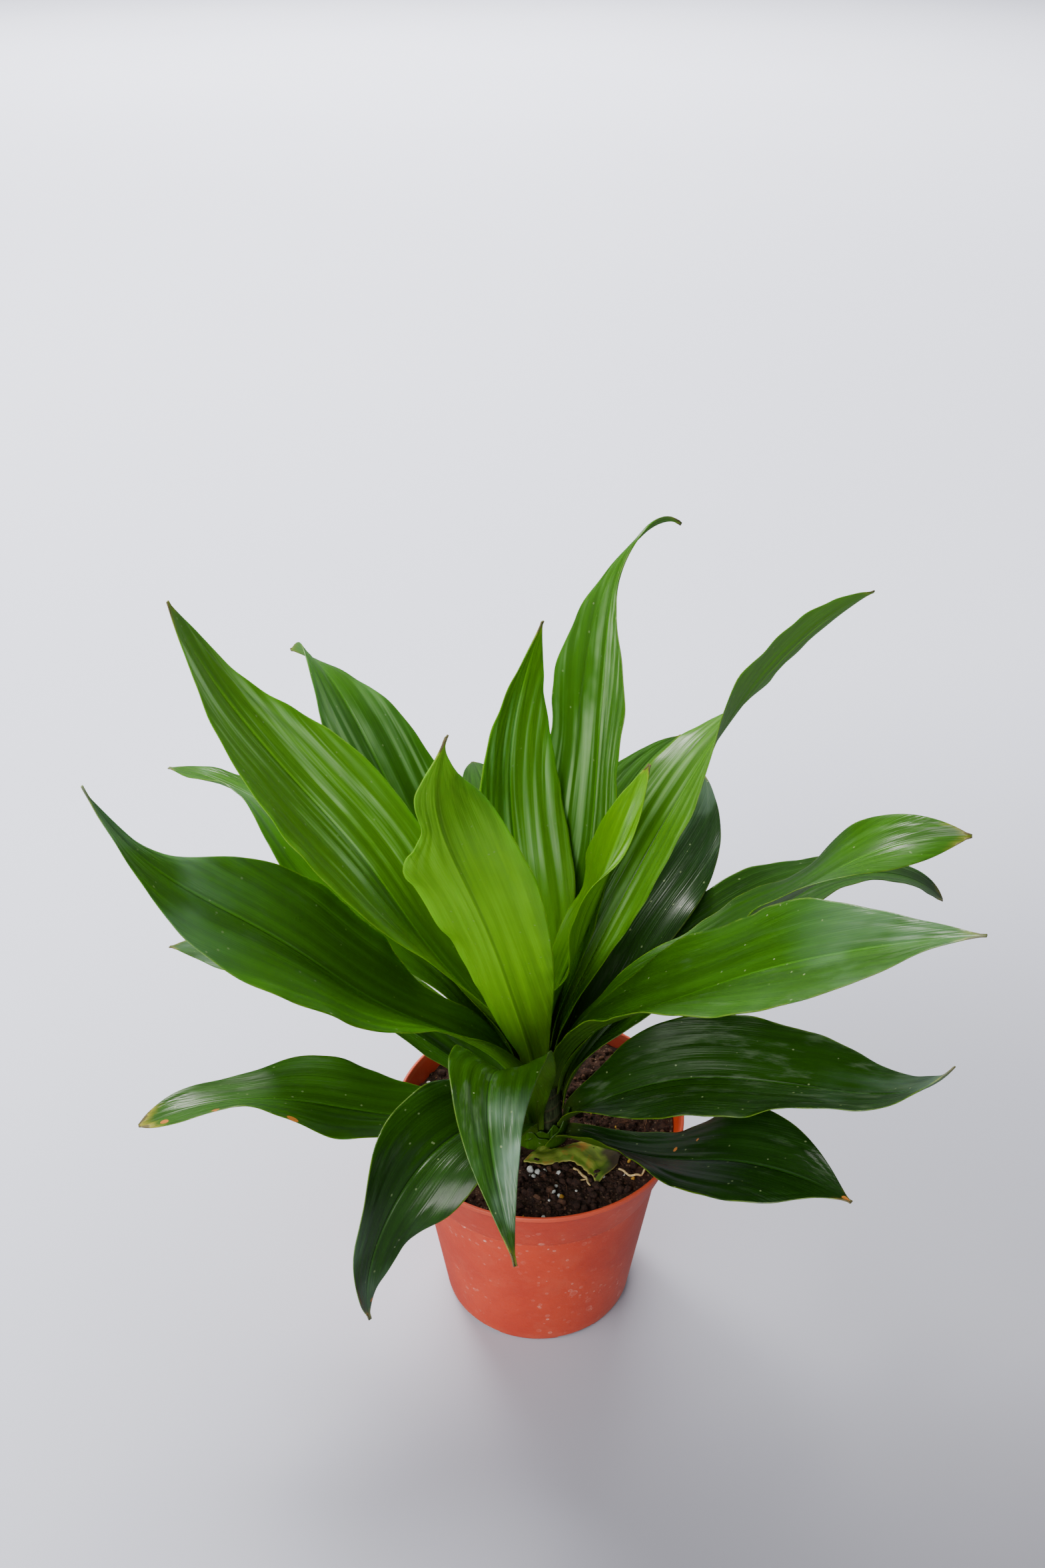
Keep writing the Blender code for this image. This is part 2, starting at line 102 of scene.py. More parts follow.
# The inner wall's line above its radius at the floor
POT_FLARE = 0.150
POT_INSIDE_FOOT = FOOT_RADIUS - WALL - FLOOR_TOP * POT_FLARE

# The cane: (height, radius) up to its growing point
CANE_FOOT = 0.062
CANE_RADII = (
    (0.080, 0.0115),
    (0.093, 0.0110),
    (0.105, 0.0100),
    (0.120, 0.0083),
    (0.130, 0.0064),
    (0.140, 0.0044),
    (0.150, 0.0024),
    (0.158, 0.0016),
)

# The leaves' common form
BLADE = 0.0007
STATIONS = 112
HALF_STRIPS = 28
BASE_SHARE = 0.25
TIP_HALF_WIDTH = 0.0008
SHEATH_CLIMB = 80
SHEATH_LENGTH = 0.005
CLASP_LENGTH = 0.008
SHEATH_GROWTH = 0.25
LOWEST_SHEATH = 0.092
ROLL_ONSET = 0.025
CUP = (20, 10, 4, 2)
RIPPLE = 0.0008
RIPPLE_WAVES = 3.5
NICK_SPREAD = 0.09

# Places on the soil, as x and y, with a radius for grains
PERLITE = (
    (-0.0046, -0.0278, 0.0018),
    (-0.0012, -0.0292, 0.0015),
    (0.0020, -0.0280, 0.0013),
    (-0.0030, -0.0318, 0.0011),
    (0.0080, -0.0300, 0.0013),
    (0.0092, -0.0345, 0.0011),
    (0.0066, -0.0386, 0.0008),
    (0.0050, -0.0425, 0.0013),
    (0.0074, -0.0452, 0.0009),
    (0.0032, -0.0478, 0.0008),
    (0.0150, -0.0425, 0.0008),
    (-0.0510, 0.0260, 0.0016),
    (-0.0437, 0.0237, 0.0013),
    (-0.0497, 0.0181, 0.0018),
    (-0.0525, 0.0118, 0.0012),
    (0.0270, -0.0344, 0.0010),
    (0.0337, -0.0068, 0.0011),
)
YELLOW_GRAINS = (
    (-0.0500, 0.0230, 0.0010),
    (0.0087, -0.0459, 0.0011),
    (0.0399, -0.0361, 0.0010),
    (0.0389, -0.0259, 0.0010),
    (0.0348, -0.0039, 0.0011),
)
ROOT_FRONT = (
    (0.0146, -0.0280),
    (0.0165, -0.0303),
    (0.0184, -0.0335),
    (0.0198, -0.0350),
    (0.0202, -0.0381),
    (0.0212, -0.0401),
)
ROOT_BRANCH = ((0.0162, -0.0365), (0.0180, -0.0362), (0.0197, -0.0358))
ROOT_LOOP = (
    (0.0339, -0.0329),
    (0.0355, -0.0348),
    (0.0382, -0.0368),
    (0.0411, -0.0372),
    (0.0434, -0.0365),
    (0.0448, -0.0342),
    (0.0452, -0.0323),
)
RIM_LOOP_HEIGHT = 0.0985

# Sheaths of lost leaves: (heading, foot, rise, half reach in degrees)
SHEATHS = (
    (292, 0.0895, 0.014, 62),
    (246, 0.0900, 0.012, 55),
    (335, 0.0900, 0.016, 58),
)

# Where the lights stand
WINDOW_PLACE = (-0.9, 1.5, 1.9)
SIDE_PLACE = (-1.15, -0.95, 1.35)
FRONT_PLACE = (-0.55, -1.4, 0.70)
FAR_PLACE = (-0.6, 4.6, 3.4)
FAR_AIM = (-0.2, 4.2, 0)

# The middle of the shadow painted on the floor in front of the plant
SHADE_PLACE = (0.50, -0.60)


class Leaf(NamedTuple):
    """One strap leaf. Angles run from base to tip at even steps, in degrees.

    height is where the base clasps the cane. climb is how steeply the midrib rises, and a
    negative one droops. drift is how far the heading has turned at half length and at the
    tip. roll is the twist about the midrib. widest is the share of the length where the
    blade is widest. A point under 1 is a blunt tip. fold is each half blade's angle up from
    flat, along the crease of the midrib. nicks are places where an edge draws in: the share
    of the length, the side (1 is towards growing headings) and the depth.
    """

    name: str
    height: float
    length: float
    width: float
    heading: float
    climb: tuple
    drift: tuple = (0, 0)
    roll: tuple = (0, 0)
    widest: float = 0.5
    point: float = 0.95
    fold: tuple = (30, 20, 12, 8)
    nicks: tuple = ()


LEAVES = (
    Leaf(
        "leaf_front_right_low",
        height=0.091,
        length=0.165,
        width=0.046,
        heading=322,
        climb=(10, 22, 36, 26, 8),
        drift=(-8, -12),
        roll=(-15, -20, 10, 20, 10),
        widest=0.66,
        point=1.15,
    ),
    Leaf(
        "leaf_left_low",
        height=0.092,
        length=0.170,
        width=0.043,
        heading=187,
        climb=(10, 12, 22, 4, -20),
        drift=(2, 6),
        roll=(0, 5, -15, 20, -15),
        widest=0.57,
        point=0.72,
        nicks=((0.62, 1, 0.0030),),
    ),
    Leaf(
        "leaf_front_left_drooping",
        height=0.094,
        length=0.165,
        width=0.050,
        heading=237,
        climb=(52, 38, 0, -52, -104),
        drift=(-4, -1),
        roll=(-15, -10, -20, -75, -70),
        widest=0.40,
        point=1.20,
    ),
    Leaf(
        "leaf_right_lower",
        height=0.095,
        length=0.205,
        width=0.055,
        heading=343,
        climb=(46, 36, 20, 26, 68),
        drift=(-15, -31),
        roll=(15, 25, 15, 0, -5),
        widest=0.43,
        point=1.00,
    ),
    Leaf(
        "leaf_front_drooping",
        height=0.098,
        length=0.203,
        width=0.040,
        heading=254,
        climb=(64, 58, 42, -6, -58),
        drift=(4, 39),
        roll=(0, 0, 0, -12, -2),
        widest=0.44,
        point=1.10,
    ),
    Leaf(
        "leaf_back_right_low",
        height=0.100,
        length=0.215,
        width=0.040,
        heading=78,
        climb=(64, 55, 32, 10, -10),
        drift=(-13, -22),
    ),
    Leaf(
        "leaf_left_lower",
        height=0.101,
        length=0.187,
        width=0.053,
        heading=168,
        climb=(30, 32, 20, 0, -18),
        drift=(-7, -13),
        roll=(5, 0, 20, 5, 0),
        widest=0.49,
    ),
    Leaf(
        "leaf_back_low",
        height=0.105,
        length=0.200,
        width=0.038,
        heading=104,
        climb=(76, 58, 30, 2, -24),
        drift=(-3, -5),
    ),
    Leaf(
        "leaf_right_long",
        height=0.105,
        length=0.245,
        width=0.042,
        heading=11,
        climb=(72, 40, 20, -12, -50),
        drift=(13, 14),
        roll=(-10, 10, 0, -10, 40),
        widest=0.48,
        point=0.70,
    ),
    Leaf(
        "leaf_left_long",
        height=0.109,
        length=0.255,
        width=0.049,
        heading=157,
        climb=(78, 45, 24, 4, -18),
        drift=(-13, -19),
        roll=(-20, -15, -40, 30, -10),
        widest=0.51,
        point=0.92,
    ),
    Leaf(
        "leaf_back_right",
        height=0.112,
        length=0.187,
        width=0.053,
        heading=45,
        climb=(72, 58, 30, 10, -6),
        drift=(3, 37),
        roll=(30, 30, 25, 20, 10),
        widest=0.52,
        point=1.25,
    ),
    Leaf(
        "leaf_front_left",
        height=0.115,
        length=0.255,
        width=0.058,
        heading=209,
        climb=(70, 40, 50, 42, 72),
        drift=(-11, -26),
        roll=(10, 5, -20, -35, 0),
        widest=0.54,
        point=1.35,
        nicks=((0.83, -1, 0.0050),),
    ),
    Leaf(
        "leaf_right_middle",
        height=0.116,
        length=0.223,
        width=0.047,
        heading=0,
        climb=(72, 48, 42, 42, 8),
        drift=(-9, -15),
        roll=(20, 0, -15, -15, 50),
        widest=0.70,
        point=0.93,
    ),
    Leaf(
        "leaf_back_left",
        height=0.119,
        length=0.235,
        width=0.051,
        heading=144,
        climb=(78, 56, 56, 54, 36, -28),
        drift=(-5, -22),
        roll=(-5, -25, 5, 0, 85),
        point=0.93,
    ),
    Leaf(
        "leaf_front_right",
        height=0.121,
        length=0.245,
        width=0.058,
        heading=328,
        climb=(78, 44, 44, 36, 26),
        drift=(-12, 0),
        roll=(0, 0, 15, 30, 0),
        point=1.05,
        fold=(20, 22, 10, 8),
    ),
    Leaf(
        "leaf_front_tall",
        height=0.125,
        length=0.280,
        width=0.047,
        heading=257,
        climb=(66, 65, 68, 64, 58, 55, 53),
        drift=(-15, 32),
        roll=(28, 18, 14, 15, 23, 37, 36),
        widest=0.55,
        point=1.30,
        fold=(15, 8, 8, 8),
        nicks=((0.74, -1, 0.0095),),
    ),
    Leaf(
        "leaf_left_upper",
        height=0.129,
        length=0.257,
        width=0.058,
        heading=174,
        climb=(46, 54, 62, 54, 58, 72),
        drift=(3, -3),
        roll=(0, -5, -25, -20, -5),
        widest=0.57,
        point=0.94,
        nicks=((0.80, -1, 0.0050),),
    ),
    Leaf(
        "leaf_right_upper",
        height=0.134,
        length=0.267,
        width=0.046,
        heading=24,
        climb=(66, 58, 48, 26, -2),
        drift=(15, 17),
        roll=(0, 5, -20, -75, -70),
        widest=0.49,
        point=1.03,
    ),
    Leaf(
        "leaf_upright_right",
        height=0.139,
        length=0.260,
        width=0.052,
        heading=47,
        climb=(72, 70, 84, 86, 72, -40),
        roll=(0, 0, -15, -20, -90),
        widest=0.51,
        point=1.30,
        nicks=((0.81, -1, 0.0090),),
    ),
    Leaf(
        "leaf_upright_back",
        height=0.144,
        length=0.200,
        width=0.047,
        heading=110,
        climb=(84, 74, 82, 102, 112),
        drift=(14, 28),
        roll=(-10, -5, 0, -5, -5),
        widest=0.41,
        point=0.96,
        fold=(30, 22, 15, 10),
    ),
    Leaf(
        "leaf_newest",
        height=0.150,
        length=0.146,
        width=0.027,
        heading=350,
        climb=(70, 72, 74, 74, 76),
        drift=(-10, -8),
        roll=(15, 55, 10, 45, 60),
        widest=0.49,
        point=0.86,
        fold=(60, 40, 25, 15),
    ),
)

# The torn leaf's two edges where it lies on the soil, from the cane to its ragged end
TORN_EDGES = (
    ((0.0000, -0.0124), (0.0046, -0.0115)),
    ((-0.0045, -0.0180), (0.0042, -0.0142)),
    ((-0.0070, -0.0225), (0.0052, -0.0145)),
    ((-0.0030, -0.0245), (0.0065, -0.0140)),
    ((0.0040, -0.0250), (0.0085, -0.0130)),
    ((0.0120, -0.0230), (0.0125, -0.0120)),
    ((0.0165, -0.0265), (0.0180, -0.0115)),
    ((0.0210, -0.0325), (0.0235, -0.0125)),
    ((0.0240, -0.0390), (0.0280, -0.0160)),
    ((0.0285, -0.0340), (0.0330, -0.0180)),
    ((0.0335, -0.0285), (0.0360, -0.0210)),
)
TORN_LIFT = 0.0014
TORN_ARCH = 0.0010


class Skin(NamedTuple):
    """The finish of one leaf.

    age runs from 0, the newest, to 1. creased is how deep its pleats are beside the common
    depth. bloom sets a bluish sheen painted on the hanging tips, together with a dusty film there.
    The pale sheen painted along the folds in place of highlights is set by wax: its place along the
    blade, its spread and its strength. yellow_tip and dry_tip are shares of the length. flecks are
    rusty marks: place along, place across from -1 to 1, and their two sizes.
    """

    slot: str
    age: float
    creased: float = 1.0
    bloom: float = 0.0
    dust: float = 0.2
    painted_sheen: tuple = (0.6, 0.3, 0.0)
    yellow_tip: float = 0.03
    dry_tip: float = 0.004
    flecks: tuple = ()


SKINS = {
    "leaf_front_right_low": Skin(
        "leaf_old",
        0.99,
        creased=0.7,
        dust=0.3,
        yellow_tip=0.02,
        flecks=((0.40, 0.3, 0.007, 0.07), (0.47, 0.5, 0.005, 0.04), (0.985, 0.0, 0.012, 0.6)),
    ),
    "leaf_left_low": Skin(
        "leaf_old",
        0.78,
        creased=0.7,
        dust=0.3,
        yellow_tip=0.05,
        dry_tip=0.01,
        flecks=((0.62, 0.93, 0.016, 0.10), (0.80, 0.90, 0.010, 0.12), (0.93, 0.6, 0.012, 0.2)),
    ),
    "leaf_front_left_drooping": Skin(
        "leaf_old",
        0.90,
        creased=0.6,
        bloom=0.2,
        dust=0.3,
        yellow_tip=0.04,
        flecks=((0.93, 0.7, 0.007, 0.2), (0.97, -0.5, 0.006, 0.3)),
    ),
    "leaf_right_lower": Skin("leaf_old", 0.92, creased=0.6, bloom=0.3, dust=0.7),
    "leaf_front_drooping": Skin("leaf_old", 0.80, creased=0.5, bloom=0.9, dust=0.8),
    "leaf_back_right_low": Skin("leaf_old", 0.75),
    "leaf_left_lower": Skin(
        "leaf_old",
        0.80,
        creased=0.8,
        bloom=0.2,
        dust=0.5,
        flecks=((0.55, -0.9, 0.05, 0.2), (0.7, -0.85, 0.03, 0.2)),
    ),
    "leaf_back_low": Skin("leaf_old", 0.78),
    "leaf_right_long": Skin("leaf_old", 0.84, creased=0.8, dust=0.3),
    "leaf_left_long": Skin("leaf_mature", 0.55, bloom=0.2, dust=0.4, dry_tip=0.01),
    "leaf_back_right": Skin("leaf_old", 0.97, creased=0.5, bloom=0.2, dust=0.3),
    "leaf_front_left": Skin("leaf_mature", 0.54, creased=0.7, bloom=0.3, dust=0.3),
    "leaf_right_middle": Skin("leaf_mature", 0.66, creased=0.8, dust=0.3),
    "leaf_back_left": Skin(
        "leaf_mature", 0.50, creased=0.9, bloom=0.1, painted_sheen=(0.62, 0.25, 0.45)
    ),
    "leaf_front_right": Skin("leaf_mature", 0.74, creased=0.7, bloom=0.2, dust=0.3),
    "leaf_front_tall": Skin("leaf_young", 0.10, creased=0.45, dust=0.1, dry_tip=0.0),
    "leaf_left_upper": Skin("leaf_young", 0.28, creased=1.1, painted_sheen=(0.72, 0.42, 0.55)),
    "leaf_right_upper": Skin("leaf_young", 0.40, painted_sheen=(0.45, 0.3, 0.35)),
    "leaf_upright_right": Skin("leaf_young", 0.50, creased=1.3, painted_sheen=(0.55, 0.35, 0.6)),
    "leaf_upright_back": Skin("leaf_young", 0.26, creased=1.3, painted_sheen=(0.58, 0.3, 0.75)),
    "leaf_newest": Skin("leaf_young", 0.14, dust=0.05, painted_sheen=(0.7, 0.3, 0.5)),
}


class Wire:
    """A shader socket that takes part in arithmetic: each operation adds a Math node."""

    def __init__(self, look, socket):
        self.look = look
        self.socket = socket

    def math(self, operation, *values):
        return self.look.node("ShaderNodeMath", {"operation": operation}, dict(enumerate(values)))

    def __add__(self, other):
        return self.math("ADD", self, other)

    def __radd__(self, other):
        return self.math("ADD", other, self)

    def __sub__(self, other):
        return self.math("SUBTRACT", self, other)

    def __rsub__(self, other):
        return self.math("SUBTRACT", other, self)

    def __mul__(self, other):
        return self.math("MULTIPLY", self, other)

    def __rmul__(self, other):
        return self.math("MULTIPLY", other, self)

    def __truediv__(self, other):
        return self.math("DIVIDE", self, other)

    def __pow__(self, other):
        return self.math("POWER", self, other)

    def __abs__(self):
        return self.math("ABSOLUTE", self)

    def wave(self):
        return self.math("SINE", self)

    def above(self, edge, width):
        """0 below the edge, rising to 1 over the width above it."""
        settings = {"interpolation_type": "SMOOTHSTEP"}
        return self.look.node("ShaderNodeMapRange", settings, {0: self, 1: edge, 2: edge + width})

    def below(self, edge, width):
        """1 below the edge, falling to 0 over the width above it."""
        settings = {"interpolation_type": "SMOOTHSTEP"}
        values = {0: self, 1: edge, 2: edge + width, 3: 1.0, 4: 0.0}
        return self.look.node("ShaderNodeMapRange", settings, values)


class Look:
    """A material, and short ways to add the nodes that it is made of."""

    def __init__(self, name):
        self.material = bpy.data.materials.new(name)
        self.material.use_nodes = True
        self.tree = self.material.node_tree
        self.shader = self.tree.nodes["Principled BSDF"]
        self.place = self.node("ShaderNodeTexCoord", {}, {}, "Object")

    def node(self, kind, settings, values, output=0):
        """Adds a node: its settings first, then the values or links of its sockets."""
        made = self.tree.nodes.new(kind)
        for name, value in settings.items():
            setattr(made, name, value)
        for name, value in values.items():
            self.put(made.inputs[name], value)
        return Wire(self, made.outputs[output])

    def put(self, socket, value):
        if isinstance(value, Wire):
            self.tree.links.new(value.socket, socket)
        elif socket.type == "RGBA":
            socket.default_value = (*value, 1) if len(value) == 3 else value
        else:
            socket.default_value = value

    def set(self, **values):
        """Values or links of the shader's own sockets, with _ for a space in the name."""
        for name, value in values.items():
            self.put(self.shader.inputs[name.replace("_", " ")], value)

    def part(self, vector, axis):
        return self.node("ShaderNodeSeparateXYZ", {}, {0: vector}, axis)

    def joined(self, x, y, z=0.0):
        return self.node("ShaderNodeCombineXYZ", {}, {0: x, 1: y, 2: z})

    def stretched(self, vector, scale):
        return self.node("ShaderNodeVectorMath", {"operation": "MULTIPLY"}, {0: vector, 1: scale})

    def noise(self, place, scale, detail=3.0, roughness=0.5, distortion=0.0):
        values = {
            "Vector": place,
            "Scale": scale,
            "Detail": detail,
            "Roughness": roughness,
            "Distortion": distortion,
        }
        return self.node("ShaderNodeTexNoise", {}, values)

    def cells(self, place, scale, feature="F1", randomness=1.0):
        values = {"Vector": place, "Scale": scale, "Randomness": randomness}
        return self.node("ShaderNodeTexVoronoi", {"feature": feature}, values, "Distance")

    def cell_shade(self, place, scale):
        colour = self.node("ShaderNodeTexVoronoi", {}, {"Vector": place, "Scale": scale}, "Color")
        return self.part(colour, 0)

    def blend(self, share, a, b):
        values = {0: share, 6: a, 7: b}
        return self.node("ShaderNodeMix", {"data_type": "RGBA"}, values, 2)

    def tinted(self, colour, share):
        """A colour made lighter or darker by a share that varies."""
        values = {0: 1.0, 6: colour, 7: self.joined(share, share, share)}
        settings = {"data_type": "RGBA", "blend_type": "MULTIPLY"}
        return self.node("ShaderNodeMix", settings, values, 2)

    def bump(self, height, distance, strength=1.0, under=None):
        values = {"Height": height, "Distance": distance, "Strength": strength}
        if under is not None:
            values["Normal"] = under
        return self.node("ShaderNodeBump", {}, values)


def linear(red, green, blue):
    """A screen colour, 0 to 255, as the linear values that shaders take."""
    share = np.array([red, green, blue]) / 255
    low = share / 12.92
    high = ((share + 0.055) / 1.055) ** 2.4
    return tuple(float(v) for v in np.where(share <= 0.04045, low, high))


def settings(name):
    """One of the add-on's groups of sizes and colours."""
    return getattr(bpy.context.scene, name)


def shown(name, mesh, look, slot, *nodes):
    """Puts a mesh in the scene as a piece that rides with the plant and stands for solids."""
    obj = bpy.data.objects.new(name, mesh)
    if look is not None:
        obj.data.materials.append(look.material)
    bpy.context.scene.collection.objects.link(obj)
    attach(obj, BODY)
    if nodes:
        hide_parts(*nodes)
    return obj


def on_ring(radius, heading):
    turn = math.radians(heading)
    return radius * math.cos(turn), radius * math.sin(turn)


def cane_radius(height):
    heights = [z for z, _ in CANE_RADII]
    return float(np.interp(height, heights, [r for _, r in CANE_RADII]))


def spline(keys, share):
    """A smooth curve through evenly spaced keys, read at shares from 0 to 1."""
    keys = np.asarray(keys, float)
    place = np.clip(share, 0, 1) * (len(keys) - 1)
    first = np.minimum(place.astype(int), len(keys) - 2)
    f = (place - first).reshape(-1, *[1] * (keys.ndim - 1))
    padded = np.concatenate([[2 * keys[0] - keys[1]], keys, [2 * keys[-1] - keys[-2]]])
    a, b, c, d = (padded[first + k] for k in range(4))
    cubic = -a + 3 * b - 3 * c + d
    square = 2 * a - 5 * b + 4 * c - d
    return 0.5 * (2 * b + (c - a) * f + square * f**2 + cubic * f**3)


def half_width(leaf, share):
    grow = np.sin(np.clip(share / leaf.widest, 0, 1) * np.pi / 2) ** 1.5
    fall = np.cos(np.clip((share - leaf.widest) / (1 - leaf.widest), 0, 1) * np.pi / 2)
    outline = np.where(
        share < leaf.widest, BASE_SHARE + (1 - BASE_SHARE) * grow, np.abs(fall) ** leaf.point
    )
    return np.maximum(leaf.width / 2 * outline, TIP_HALF_WIDTH)


def nicked(leaf, share, half):
    """What is left of the half width on each side of the midrib, as two columns of shares."""
    kept = np.ones((len(share), 2))
    for place, side, depth in leaf.nicks:
        bite = depth * np.exp(-(((share - place) / NICK_SPREAD) ** 2))
        kept[:, int(side > 0)] -= np.minimum(bite / half, 0.8)
    return kept


def midrib(leaf, share):
    """Points on the midrib, its direction there, and the heading in radians."""
    climb = spline(leaf.climb, share)
    sheath = max(0.004, SHEATH_LENGTH + SHEATH_GROWTH * (leaf.height - LOWEST_SHEATH))
    climb += (SHEATH_CLIMB - climb) * np.exp(-((share * leaf.length / sheath) ** 2))
    climb = np.radians(climb)
    heading = np.radians(leaf.heading + spline((0, *leaf.drift), share))
    along = np.stack(
        [np.cos(climb) * np.cos(heading), np.cos(climb) * np.sin(heading), np.sin(climb)], -1
    )
    steps = (along[1:] + along[:-1]) / 2 * np.diff(share)[:, None] * leaf.length
    seat = cane_radius(leaf.height) + GAP + BLADE / 2
    start = np.array([*on_ring(seat, leaf.heading), leaf.height])
    return start + np.concatenate([np.zeros((1, 3)), np.cumsum(steps, 0)]), along, heading


def blade(leaf, share, creased, form):
    """Rows of points across the blade, from the clasping base to the tip."""
    fine = np.linspace(0, 1, 8 * len(share) + 1)
    points, along, heading = midrib(leaf, fine)
    centre = np.stack([np.interp(share, fine, points[:, k]) for k in range(3)], -1)
    along = np.stack([np.interp(share, fine, along[:, k]) for k in range(3)], -1)
    heading = np.interp(share, fine, heading)
    across = np.stack([-np.sin(heading), np.cos(heading), 0 * heading], -1)
    over = np.cross(along, across)
    run = share * leaf.length
    roll = np.radians(spline(leaf.roll, share)) * (1 - np.exp(-((run / ROLL_ONSET) ** 2)))
    turn, lean = np.cos(roll)[:, None], np.sin(roll)[:, None]
    across, over = across * turn + over * lean, over * turn - across * lean
    half = half_width(leaf, share)
    clasp = CLASP_LENGTH + SHEATH_GROWTH * (leaf.height - LOWEST_SHEATH)
    hold = np.exp(-((run / clasp) ** 2))
    seat = cane_radius(leaf.height) + GAP + BLADE / 2
    fold = np.radians(spline(leaf.fold, share)) * (1 - hold)
    cup = np.radians(spline(CUP, share)) * (1 - hold) + hold * np.minimum(half / seat, 2.2)
    angle = fold[:, None] + cup[:, None] * (np.arange(HALF_STRIPS) + 0.5) / HALF_STRIPS
    none = np.zeros((len(share), 1))
    out = np.concatenate([none, np.cumsum(np.cos(angle), 1)], 1) * half[:, None] / HALF_STRIPS
    up = np.concatenate([none, np.cumsum(np.sin(angle), 1)], 1) * half[:, None] / HALF_STRIPS
    low, high = nicked(leaf, share, half).T[:, :, None]
    out = np.concatenate([-out[:, :0:-1] * low, out * high], 1)
    up = np.concatenate([up[:, :0:-1] * low, up * high], 1)
    edge = np.linspace(-1, 1, 2 * HALF_STRIPS + 1)
    phase = np.radians(leaf.heading * 3) + (edge > 0) * 2.0
    swell = np.sin(np.pi * share)[:, None] * edge**2
    up = up + RIPPLE * swell * np.sin(math.tau * RIPPLE_WAVES * share[:, None] + phase)
    up = up + creased * pleats(leaf, share, edge, form)
    up = up + frill(leaf, share, edge, form)
    return centre[:, None] + across[:, None] * out[..., None] + over[:, None] * up[..., None]


def relief(share, edge, seed, along, across):
    """Uneven ridges over a blade: how many run along it and across each half."""
    rows = [
        [noise.noise((seed + (e > 0) * 9.0 + abs(e) * across, s * along, seed)) for e in edge]
        for s in share
    ]
    return np.array(rows)


def pleats(leaf, share, edge, form):
    """The lengthwise folds that the blade kept from the bud, drawn together at both ends."""
    swell = (np.sin(np.pi * np.clip(share * 1.04, 0, 1)) ** 0.6)[:, None]
    seed = leaf.heading * 0.11
    folds = 1.6 * relief(share, edge, seed, 1.6, form.pleats * 2)
    folds += 0.5 * relief(share, edge, seed + 40, 2.5, form.pleats * 5)
    quiet = np.clip(np.abs(edge) / 0.10, 0, 1) * (1 - np.abs(edge) ** 8)
    return form.pleat_depth * swell * quiet * folds


def frill(leaf, share, edge, form):
    """Uneven waves along each edge, broad and small, that die out inwards."""
    seed = leaf.heading * 0.37
    waves = []
    for side in (-1, 1):
        broad = [noise.noise((s * leaf.length * 26, side * 5.0, seed)) for s in share]
        small = [noise.noise((s * leaf.length * 75, side * 5.0, seed + 8)) for s in share]
        waves.append(np.array(broad)[:, None] * edge**2 + 0.35 * np.array(small)[:, None] * edge**6)
    swell = np.sin(np.pi * np.clip(share, 0.02, 1))[:, None] ** 0.5
    return form.frill_depth * swell * np.where(edge < 0, waves[0], waves[1])


def across_normals(rows):
    """The direction of the upper face at every point of the rows."""
    normals = np.cross(np.gradient(rows, axis=0), np.gradient(rows, axis=1))
    return normals / (np.linalg.norm(normals, axis=-1, keepdims=True) + 1e-12)


def thick_sheet(name, rows, upper, lower, share, spread):
    """A closed blade between two faces, each its own distance from the rows of points.

    The UV maps hold the place on the blade as shares, the place in metres, and the face.
    """
    normals = across_normals(rows)
    top = rows + normals * upper[..., None]
    bottom = rows - normals * lower[..., None]
    count, width = rows.shape[:2]
    number = np.arange(count * width).reshape(count, width)
    a, b, c, d = number[:-1, :-1], number[1:, :-1], number[1:, 1:], number[:-1, 1:]
    top_faces = np.stack([a, b, c, d], -1).reshape(-1, 4)
    below = number + count * width
    a, b, c, d = below[:-1, :-1], below[:-1, 1:], below[1:, 1:], below[1:, :-1]
    bottom_faces = np.stack([a, b, c, d], -1).reshape(-1, 4)
    rim = np.concatenate([number[:, 0], number[-1, 1:], number[-2::-1, -1], number[0, -2:0:-1]])
    after = np.roll(rim, -1)
    drop = count * width
    rim_faces = np.stack([rim, rim + drop, after + drop, after], -1)
    faces = np.concatenate([top_faces, bottom_faces, rim_faces])
    mesh = bpy.data.meshes.new(name)
    mesh.from_pydata(np.concatenate([top.reshape(-1, 3), bottom.reshape(-1, 3)]), [], faces)
    mesh.shade_smooth()
    column = np.broadcast_to(np.linspace(0, 1, width), (count, width))
    along = np.broadcast_to(share[:, None], (count, width))
    sides = np.concatenate([np.zeros(count * width), np.ones(count * width)])
    maps = {
        "Blade": np.stack([np.tile(along.ravel(), 2), np.tile(column.ravel(), 2)], -1),
        "Size": np.tile(spread.reshape(-1, 2), (2, 1)),
        "Face": np.stack([sides, sides], -1),
    }
    loops = np.empty(len(mesh.loops), np.int32)
    mesh.loops.foreach_get("vertex_index", loops)
    for layer, values in maps.items():
        uv = mesh.uv_layers.new(name=layer)
        uv.data.foreach_set("uv", values[loops].astype(np.float32).ravel())
    return mesh


